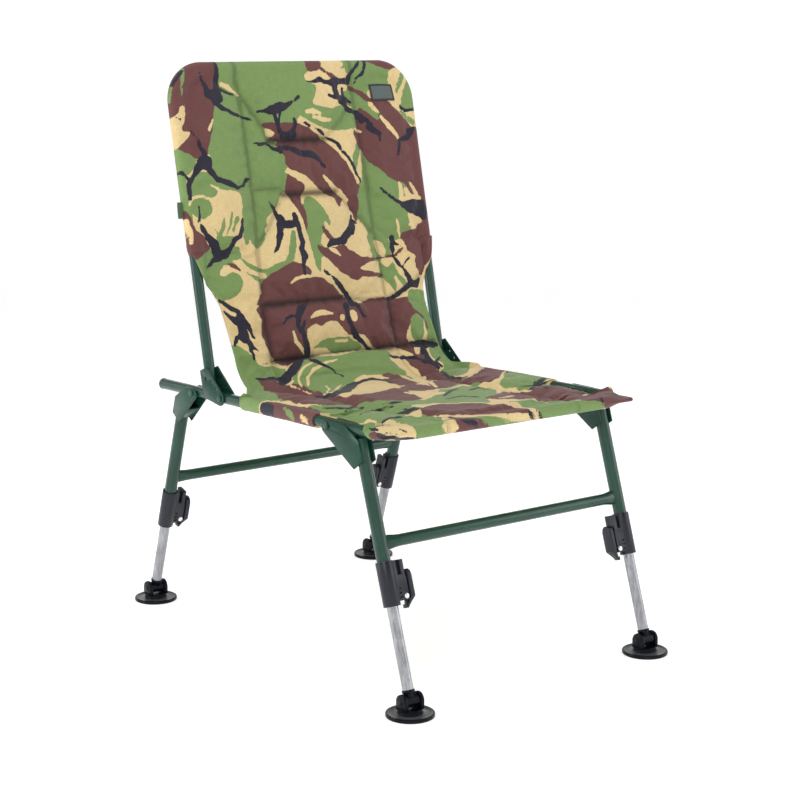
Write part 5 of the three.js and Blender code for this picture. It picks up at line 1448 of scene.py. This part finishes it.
# the black print; a few of its thin strokes on the seat are painted shade in the seat's folds
camoShapes["blackField"] = {
    "loops": [
    ],
    "ovals": [(-55, 490, 12, 6), (-214, 399, 14, 13), (-198, 237, 11, 8)],
    "strokes": [
        ([(-199, 555), (-193, 538), (-190, 521)], [3, 6, 12]),
        ([(-191, 517), (-180, 513), (-168, 509)], [14, 22, 16]),
        ([(-166, 577), (-165, 549), (-169, 523)], [6, 9, 14]),
        ([(-181, 502), (-166, 492), (-145, 482), (-120, 477), (-105, 471)], [8, 9, 6, 4, 4]),
        ([(-168, 528), (-157, 524), (-133, 518)], [10, 6, 4]),
        ([(-89, 486), (-78, 485), (-68, 490)], [4, 5, 7]),
        ([(-46, 496), (-30, 495), (-20, 501)], [9, 5, 3]),
        ([(-16, 501), (-5, 509)], [3, 6]),
        ([(-58, 481), (-54, 466)], [3, 4]),
        ([(-50, 481), (-50, 466)], [4, 3]),
        ([(-20, 471), (-16, 460), (-21, 450), (-32, 442)], [5, 5, 9, 14]),
        ([(-52, 465), (-49, 450), (-41, 442), (-21, 440)], [4, 5, 14, 16]),
        ([(-106, 430), (-95, 428), (-78, 430), (-64, 417), (-54, 412)], [2, 4, 4, 5, 8]),
        ([(-53, 419), (-32, 419), (-15, 409), (12, 405), (26, 395), (36, 379)], [8, 10, 12, 14, 9, 3]),
        ([(-232, 454), (-221, 435), (-213, 413)], [2, 5, 9]),
        ([(-226, 393), (-238, 377), (-250, 365), (-251, 339)], [14, 8, 8, 6]),
        ([(-250, 373), (-259, 384), (-274, 386)], [6, 4, 4]),
        ([(-208, 387), (-195, 370), (-171, 361), (-155, 354), (-135, 356)], [11, 10, 10, 5, 4]),
        ([(-139, 356), (-133, 366), (-122, 368)], [7, 6, 3]),
        ([(-235, 325), (-238, 302)], [3, 6]),
        ([(-91, 325), (-80, 314), (-74, 295)], [3, 5, 10]),
        ([(21, 537), (38, 536), (50, 541), (58, 535), (73, 533)], [3, 7, 8, 7, 10]),
        ([(70, 533), (84, 536), (96, 537), (117, 537), (122, 545)], [12, 14, 10, 12, 6]),
        ([(118, 545), (131, 559), (147, 575)], [7, 6, 4]),
        ([(157, 577), (153, 559), (148, 549), (135, 542)], [6, 6, 5, 4]),
        ([(78, 528), (80, 514), (90, 504), (100, 497)], [14, 14, 14, 11]),
        ([(100, 522), (100, 508), (118, 498)], [8, 8, 3]),
        ([(101, 495), (111, 483), (126, 478)], [11, 9, 8]),
        ([(63, 512), (75, 507), (83, 507)], [4, 6, 8]),
        ([(126, 478), (132, 471), (134, 463)], [10, 15, 10]),
        ([(130, 472), (145, 463), (154, 454)], [8, 7, 6]),
        ([(147, 451), (157, 444), (166, 437), (166, 423)], [11, 11, 8, 3]),
        ([(130, 533), (136, 537)], [3, 4]),
        ([(249, 446), (239, 439), (233, 429), (212, 424)], [4, 14, 12, 5]),
        ([(210, 420), (202, 397)], [6, 4]),
        ([(225, 487), (236, 479), (254, 481)], [4, 5, 5]),
        ([(155, 337), (166, 327), (179, 317), (194, 307)], [3, 4, 5, 9]),
        ([(197, 303), (219, 303), (246, 305)], [12, 20, 14]),
        ([(237, 295), (246, 276)], [12, 4]),
        ([(242, 296), (264, 286)], [14, 10]),
        ([(1, 464), (14, 458)], [4, 4]),
        ([(25, 453), (46, 442)], [3, 5]),
        ([(52, 436), (63, 429), (71, 423), (75, 414)], [3, 7, 7, 6]),
        ([(79, 407), (89, 393), (96, 381), (101, 367), (113, 353)], [3, 5, 6, 6, 4]),
        ([(-241, 300), (-233, 285), (-225, 272), (-215, 258), (-206, 240)], [3, 8, 10, 15, 18]),
        ([(-207, 240), (-193, 239), (-181, 250), (-175, 263), (-164, 269), (-158, 282), (-155, 298)], [16,
         14, 8, 9, 10, 8, 3]),
        ([(-207, 232), (-220, 230), (-230, 219)], [9, 8, 4]),
        ([(-45, 297), (-41, 278), (-38, 260), (-35, 248), (-40, 236), (-36, 224), (-42, 211), (-43, 193)],
         [8, 10, 10, 9, 11, 14, 7, 5]),
        ([(-78, 302), (-72, 297), (-70, 284), (-52, 281), (-43, 283)], [5, 12, 14, 13, 10]),
        ([(-75, 284), (-79, 261), (-86, 246), (-97, 234)], [12, 9, 7, 4]),
        ([(16, 238), (26, 244), (40, 244), (50, 246)], [6, 11, 12, 15]),
        ([(50, 248), (60, 256), (70, 263), (80, 274), (82, 291)], [12, 14, 17, 13, 5]),
        ([(82, 284), (92, 278)], [6, 4]),
        ([(-1, 195), (11, 185), (30, 168), (43, 150), (53, 138)], [4, 5, 7, 8, 8]),
        ([(32, 129), (47, 132), (57, 131), (59, 120), (65, 108), (70, 103)], [8, 10, 8, 8, 5, 3]),
        ([(31, 127), (29, 108), (33, 88), (44, 70)], [10, 8, 9, 11]),
        ([(44, 70), (57, 59), (74, 45)], [8, 6, 6]),
        ([(168, 245), (165, 234), (163, 215), (168, 200), (183, 180), (194, 165), (205, 155)], [12, 9, 5, 6,
         6, 8, 10]),
        ([(169, 234), (182, 227)], [4, 3]),
        ([(177, 189), (197, 205)], [3, 3]),
        ([(133, 133), (156, 138), (179, 149), (193, 156), (208, 155), (218, 166)], [4, 7, 9, 10, 12, 4]),
        ([(-219, 160), (-202, 148), (-192, 140), (-181, 118), (-173, 104), (-167, 89)], [4, 8, 8, 10, 8, 4]),
        ([(-214, 140), (-203, 128), (-193, 118)], [4, 8, 12]),
        ([(-191, 125), (-187, 105), (-185, 91)], [12, 16, 18]),
        ([(-184, 91), (-175, 75), (-167, 66)], [12, 8, 3]),
        ([(-186, 93), (-199, 93), (-208, 80)], [10, 8, 4]),
        ([(-180, 84), (-177, 52)], [7, 4]),
        ([(-167, 44), (-152, 42)], [3, 4]),
        ([(-107, 107), (-98, 117), (-87, 120), (-80, 116)], [3, 4, 5, 4]),
        ([(-48, 137), (-63, 131), (-75, 118), (-79, 103), (-77, 89)], [5, 11, 12, 8, 4]),
        ([(-65, 106), (-72, 93), (-70, 74), (-62, 49)], [4, 7, 9, 11]),
        ([(-73, 44), (-100, 21), (-115, 10), (-131, 2), (-145, -9)], [6.2, 19.5, 21.8, 14.8, 5.9]),
        ([(-120, -86), (-112, -106), (-104, -124), (-69, -96), (-28, -59), (-4, -50)], [10.0, 20.0, 30.0,
         23.6, 16.9, 5.5]),
        ([(2, -48), (29, -47), (43, -57), (40, -85)], [4.8, 8.3, 12.5, 9.3]),
        ([(-259, -125), (-262, -138), (-266, -130)], [7.2, 21.2, 9.7]),
        ([(-258, -142), (-262, -159), (-265, -157)], [6.2, 7.4, 13.9]),
        ([(-65, 28), (-51, 13), (-36, -4), (-24, -28)], [14.3, 6.5, 5.3, 4.9]),
        ([(-221, -244), (-202, -254), (-182, -265)], [3.0, 6.1, 5.0]),
        ([(-208, -331), (-134, -272), (-115, -291)], [1.7, 10.0, 5.0]),
        ([(-246, -413), (-205, -388), (-169, -382)], [0.7, 4.4, 7.5]),
        ([(-197, -273), (-132, -231)], [1.2, 7.5]),
        ([(-110, -262), (-87, -276)], [5.0, 7.5]),
        ([(-125, -326), (-114, -338), (-99, -345)], [9.9, 17.5, 10.0]),
        ([(-111, -318), (-109, -348)], [3.9, 6.3]),
        ([(-125, -347), (-104, -335)], [6.0, 6.3]),
        ([(5, -276), (43, -244), (62, -236)], [5.0, 8.6, 7.2]),
        ([(72, -261), (108, -248)], [5.0, 7.5]),
        ([(-11, -301), (27, -295), (41, -321)], [5.0, 7.5, 5.0]),
        ([(99, 14), (141, 21), (163, 14), (172, -7)], [6.8, 4.9, 8.8, 7.4]),
        ([(188, 35), (185, 17), (181, -6), (189, -23)], [12.4, 9.8, 12.8, 7.6]),
        ([(188, -25), (161, -87), (152, -120), (160, -145)], [3.7, 8.2, 7.4, 7.5]),
        ([(214, 6), (192, -10), (198, -23)], [3.7, 4.1, 3.7]),
        ([(169, 45), (202, 40), (224, 39)], [12.0, 18.5, 9.8]),
        ([(-114, -456.9), (-101, -463.0), (-79, -466.4)], [5.0, 4.6, 0.6]),
        ([(28, -465.0), (42, -469.8)], [2.1, 2.3]),
        ([(45, -464.4), (57, -470.0)], [2.0, 1.7]),
        ([(163, -319), (218, -267), (241, -255)], [6.5, 10.8, 11.3]),
        ([(216, -272), (177, -338), (193, -335)], [6.3, 6.4, 10.0]),
        ([(248, -275), (189, -345)], [5.2, 5.0]),
        ([(198, -446), (187, -464.5)], [3.8, 3.6]),
        ([(220, -440), (236, -446)], [7.5, 7.5]),
        ([(250, -462.7), (257, -465.3)], [6.3, 0.6]),
        ([(-255, -415), (-249, -433)], [2.2, 4.8]),
        ([(-244, -421), (-217, -405), (-212, -424)], [2.2, 10.0, 5.0]),
        ([(-261, -462.6), (-229, -476.9), (-203, -470.7)], [8.4, 11.8, 3.0]),
        ([(-247, -450), (-236, -460.3)], [2.7, 3.1]),
        ([(-225, -451), (-217, -461.7)], [2.4, 2.0]),
        ([(-256, -442), (-261, -462.6)], [5.5, 10.0]),
        ([(-184, 15), (-161, 10), (-138, 6), (-128, -4)], [3.2, 6.2, 12.7, 12.6]),
        ([(-231, 560), (-244, 548), (-254, 534)], [3.8, 5.7, 2.5]),
        ([(-259, 481), (-249, 475)], [1.8, 2.6]),
        ([(-81, 486), (-67, 487), (-53, 490), (-38, 491), (-25, 498)], [5.5, 11.9, 17.0, 10.2, 6.9]),
        ([(-60, 483), (-55, 466), (-48, 449)], [5.6, 5.3, 7.8]),
        ([(-48, 483), (-51, 466)], [4.9, 4.7]),
        ([(200, 303), (218, 299), (239, 296), (247, 280)], [13.3, 24.1, 29.1, 13.2]),
    ],
}


# how the outlines below are laid on the cloth: behind, the print is mirrored, and near the edge it runs on
printPlan = {
    "farthest": 15.0, "ovalPoints": 24, "mirror": 37, "roundBelow": 40, "underShift": 700, "rise": 600,
    "stitchAside": 2.6, "hemShade": 0.55, "hemWide": 1.8,
}


# the outline's points joined by a smooth curve through them all
def roundLoop(loop, steps=4):
    points = np.array(loop, float)
    before, after, later = np.roll(points, 1, 0), np.roll(points, -1, 0), np.roll(points, -2, 0)
    made = []
    for k in np.arange(steps) / steps:
        square = 2 * before - 5 * points + 4 * after - later
        cube = 3 * points - before - 3 * after + later
        made.append(0.5 * (2 * points + (after - before) * k + square * k * k + cube * k ** 3))
    return np.stack(made, 1).reshape(-1, 2)


def nearBox(x, v, corners, margin=16):
    low, high = corners.min(0) - margin, corners.max(0) + margin
    return np.nonzero((x > low[0]) & (x < high[0]) & (v > low[1]) & (v < high[1]))[0]


# how far along a straight stretch the nearest place on it is, and how far off that lies
def nearestOn(x, v, ax, av, bx, bv):
    dx, dv = bx - ax, bv - av
    share = np.clip(((x - ax) * dx + (v - av) * dv) / max(dx * dx + dv * dv, 1e-9), 0, 1)
    return share, np.hypot(x - ax - share * dx, v - av - share * dv)


def loopField(x, v, loop):
    best = np.full(x.shape, 1e9)
    within = np.zeros(x.shape, bool)
    for (ax, av), (bx, bv) in zip(loop, np.roll(loop, -1, 0)):
        best = np.minimum(best, nearestOn(x, v, ax, av, bx, bv)[1])
        if av != bv:
            within ^= ((av > v) != (bv > v)) & (x < (v - av) / (bv - av) * (bx - ax) + ax)
    return np.where(within, -best, best)


def strokeField(x, v, points, widths):
    best = np.full(x.shape, 1e9)
    for start, end, wide, narrow in zip(points, points[1:], widths, widths[1:]):
        share, gap = nearestOn(x, v, *start, *end)
        best = np.minimum(best, gap - (wide + (narrow - wide) * share) / 2 - 0.5)
    return best


# distance to a layer's edge at each place, negative inside it, in metres
def patternField(x, v, shapes, plan=printPlan):
    field = np.full(x.shape, plan["farthest"])
    outlines = [roundLoop(loop) for loop in shapes["loops"]]
    turns = np.linspace(0, 2 * math.pi, plan["ovalPoints"], endpoint=False)
    for cx, cv, rx, rv in shapes["ovals"]:
        outlines.append(np.stack([cx + rx * np.cos(turns), cv + rv * np.sin(turns)], 1))
    for outline in outlines:
        near = nearBox(x, v, outline)
        field[near] = np.minimum(field[near], loopField(x[near], v[near], outline))
    for points, widths in shapes["strokes"]:
        near = nearBox(x, v, np.array(points, float), 30)
        field[near] = np.minimum(field[near], strokeField(x[near], v[near], points, widths))
    return np.clip(field, -plan["farthest"], plan["farthest"]) * mm


def addField(mesh, name, values):
    attribute = mesh.attributes.new(name, "FLOAT", "POINT")
    attribute.data.foreach_set("value", np.asarray(values, np.float32))


# where the print goes on round the edge to the under side: as far outside the outline as the place is inside
def roundEdge(x, v, inside):
    riseX = insideBy(x + 0.5, v) - insideBy(x - 0.5, v)
    riseV = insideBy(x, v + 0.5) - insideBy(x, v - 0.5)
    size = np.maximum(np.hypot(riseX, riseV), 0.3)
    return x - 2 * inside * riseX / size, v - 2 * inside * riseV / size


def numbersOf(data, key, count, kind=np.float32):
    numbers = np.zeros(count, kind)
    data.foreach_get(key, numbers)
    return numbers


# one closed length of the sling between two rows, front and back sheets joined round all four sides
def closedSheets(first, last, xGrid, vGrid, sheets):
    tall, wide = last - first, xGrid.shape[1] - 1
    bm = bmesh.new()
    for sheet in range(2):
        gridMesh(bm, wide, tall)
    row, column = gridPlaces(bm.verts, wide, tall)
    count = (wide + 1) * (tall + 1)
    side = np.where(np.arange(2 * count) < count, 0, 1)
    for face in bm.faces:
        if face.verts[0].index >= count:
            face.normal_flip()
    spots = np.stack(sheets)[side, row + first, column]
    marks = bm.verts.layers.float_vector.new("clothPlace")
    xs, vs = xGrid[row + first, column], vGrid[row + first, column]
    for vert, spot, x, v, s in zip(bm.verts, spots, xs, vs, side):
        vert.co = spot
        vert[marks] = (x, v, s)
    bmesh.ops.remove_doubles(bm, verts=bm.verts[:], dist=0.00002)
    bm.normal_update()
    ends = {}
    for edge in openEdges(bm.edges):
        key = round(edge.verts[0][marks].y, 2)
        if abs(edge.verts[1][marks].y - edge.verts[0][marks].y) < 0.05:
            ends.setdefault(key, []).append(edge)
    for edges in ends.values():
        bmesh.ops.holes_fill(bm, edges=edges, sides=0)
    caps = [f for f in bm.faces if len(f.verts) > 6]
    bmesh.ops.triangulate(bm, faces=caps, quad_method="BEAUTY", ngon_method="BEAUTY")
    bmesh.ops.recalc_face_normals(bm, faces=bm.faces[:])
    return bm


# the print, the painted shade in the seams' furrows and along the back's hem, the stitches, and the map that
# the weave follows
def markCloth(mesh, x, v, back, plan=printPlan):
    inside = insideBy(x, v)
    own = (back > 0.5) & (inside > slingPlan["hem"])
    overEdge = (back > 0.5) & ~own & (v < plan["roundBelow"])
    overX, overV = roundEdge(x, v, inside)
    printX = np.where(own, plan["mirror"] - x, np.where(overEdge, overX, x))
    printV = np.where(overEdge, overV, v)
    for field, shapes in camoShapes.items():
        addField(mesh, field, patternField(printX, printV, shapes))
    seam, along = seamOffsets(x, v)
    # a painted shade line along the hem on the back sheet, taken in with the painted shade of the seams
    hem = plan["hemShade"] * np.exp(-((inside - slingPlan["hem"]) / plan["hemWide"]) ** 2) * (back > 0.5)
    addField(mesh, "furrow", np.maximum(furrowShade(x, v), hem))
    addField(mesh, "seamAcross", np.clip(np.abs(seam - plan["stitchAside"]), 0, 20) * mm)
    addField(mesh, "seamAlong", along * mm)
    corners = numbersOf(mesh.loops, "vertex_index", len(mesh.loops), np.int32)
    flat = np.stack([x + back * plan["underShift"], v + plan["rise"]], 1) * mm
    layer = mesh.uv_layers.new(name="clothMap")
    layer.data.foreach_set("uv", flat[corners].astype(np.float32).ravel())


def clothPiece(name, first, last, xGrid, vGrid, sheets):
    mesh = meshOf(name, closedSheets(first, last, xGrid, vGrid, sheets))
    place = numbersOf(mesh.attributes["clothPlace"].data, "vector", len(mesh.vertices) * 3)
    mesh.attributes.remove(mesh.attributes["clothPlace"])
    markCloth(mesh, *place.reshape(-1, 3).astype(float).T)
    piece = smoothPiece(name, mesh, [camouflage], 62)
    uses = np.bincount(numbersOf(mesh.loops, "edge_index", len(mesh.loops), np.int32))
    print(f"{name}: {len(mesh.polygons)} faces, open edges {np.sum(uses != 2)}")
    return piece


def makeSling():
    settling = settleCloth(simPlan)
    vRows, xGrid, vGrid, sheets = clothPieces(settling)
    atCrease = int(np.argmin(np.abs(vRows - slingPlan["crease"])))
    atSeat = int(np.argmin(np.abs(vRows - seatV)))
    whole = (xGrid, vGrid, sheets)
    back = clothPiece("backQuilt", 0, atCrease, *whole)
    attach(back, "backrest")
    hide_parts("back_pad")
    fold = clothPiece("slingBend", atCrease, atSeat, *whole)
    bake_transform(fold)
    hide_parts("sling_bridge")
    seat = clothPiece("seatQuilt", atSeat, len(vRows) - 1, *whole)
    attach(seat, "seat_frame")
    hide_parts("seat_pad")
    return vRows, xGrid, sheets[0]


frontSheet = makeSling()
print("stage 5: sling")

# woven badge, left plain, and the folded tape in the left edge

trimPlan = {
    "badgeAt": (184, 512), "badge": (50, 31), "badgeLift": 0.3, "badgeTall": 1.4, "border": 3.6,
    "sunk": 0.35, "tabAt": (-261, 321), "tab": (12, 28), "tabTall": 1.7,
}


# a place on the finished front sheet
def clothSpot(x, v):
    vRows, xGrid, sheet = frontSheet
    row = float(np.interp(-v, -vRows, np.arange(len(vRows))))
    above, below = (np.array([np.interp(x, xGrid[r], sheet[r, :, k]) for k in range(3)])
                    for r in (int(row), int(row) + 1))
    return (above * (1 - row % 1) + below * (row % 1)) / mm


def makeBadge(plan):
    wide, tall = plan["badge"]
    atX, atV = plan["badgeAt"]
    towards = Vector((0, *forward))
    bm = bmesh.new()
    bmesh.ops.create_grid(bm, x_segments=15, y_segments=9, size=1)
    for vert in bm.verts:
        spot = clothSpot(atX + vert.co.x * wide / 2, atV + vert.co.y * tall / 2)
        vert.co = Vector(spot) + towards * plan["badgeLift"]
    bmesh.ops.recalc_face_normals(bm, faces=bm.faces[:])
    if sum(f.normal.dot(towards) for f in bm.faces) < 0:
        bmesh.ops.reverse_faces(bm, faces=bm.faces[:])
    made = bmesh.ops.extrude_face_region(bm, geom=bm.faces[:], use_keep_orig=True)["geom"]
    raised = facesIn(made)
    bmesh.ops.translate(bm, verts=vertsIn(made), vec=towards * plan["badgeTall"])
    border = bmesh.ops.inset_region(bm, faces=raised, thickness=plan["border"], depth=-plan["sunk"])["faces"]
    for face in raised:
        if face.is_valid and face not in border:
            face.material_index = 1
    finishPiece("plainBadge", bm, inMetres, [tape, badgeFace], "backrest", "back_badge",
                smoothAngle=50)


def makeTab(plan):
    wide, tall = plan["tab"]
    atX, atV = plan["tabAt"]
    bm = bmesh.new()
    bmesh.ops.create_cube(bm, size=1)
    bmesh.ops.subdivide_edges(bm, edges=bm.edges[:], cuts=3, use_grid_fill=True)
    softEdges(bm, 0.12)
    for vert in bm.verts:
        across, out, along = vert.co
        bend = 1.4 * math.sin(along * 3) + 2.0 * (across - 0.5) ** 2
        place = (atX + (across - 0.5) * wide, atV + along * tall, out * plan["tabTall"] + bend)
        vert.co = slingPoint(*(np.array([k]) for k in place))[0] / mm
    finishPiece("edgeTape", bm, inMetres, [sageTape], "backrest", "edge_tab")


makeBadge(trimPlan)
makeTab(trimPlan)
print("stage 6: badge and tape")

# pale floor that curves up into a round wall

floorPlan = {"flat": 5.5, "bend": 2.0, "tall": 4.0, "colour": (0.93, 0.93, 0.93), "glow": 0.42}


def makeFloor(plan):
    curve = [(plan["flat"] + plan["bend"] * math.sin(a), plan["bend"] * (1 - math.cos(a)))
             for a in (math.radians(k) for k in range(6, 91, 6))]
    bm = turned([(0, 0), (plan["flat"], 0), *curve, (plan["flat"] + plan["bend"], plan["tall"])], 96)
    bmesh.ops.recalc_face_normals(bm, faces=bm.faces[:])
    mesh = meshOf("studioFloor", bm)
    mesh.shade_smooth()
    material, tree, shader, spot = newMaterial("palePaper")
    paper = noiseOf(tree, spot, 40.0, 3.0)
    pale = mixColour(tree, paper, plan["colour"], tuple(c * 0.99 for c in plan["colour"]))
    for socket in ("Base Color", "Emission Color"):
        tree.links.new(pale, shader.inputs[socket])
    setOn(shader, {"Roughness": 0.95, "Specular IOR Level": 0.1, "Emission Strength": plan["glow"]})
    mesh.materials.append(material)
    putIn("studioFloor", mesh)


makeFloor(floorPlan)
print("stage 7: floor")
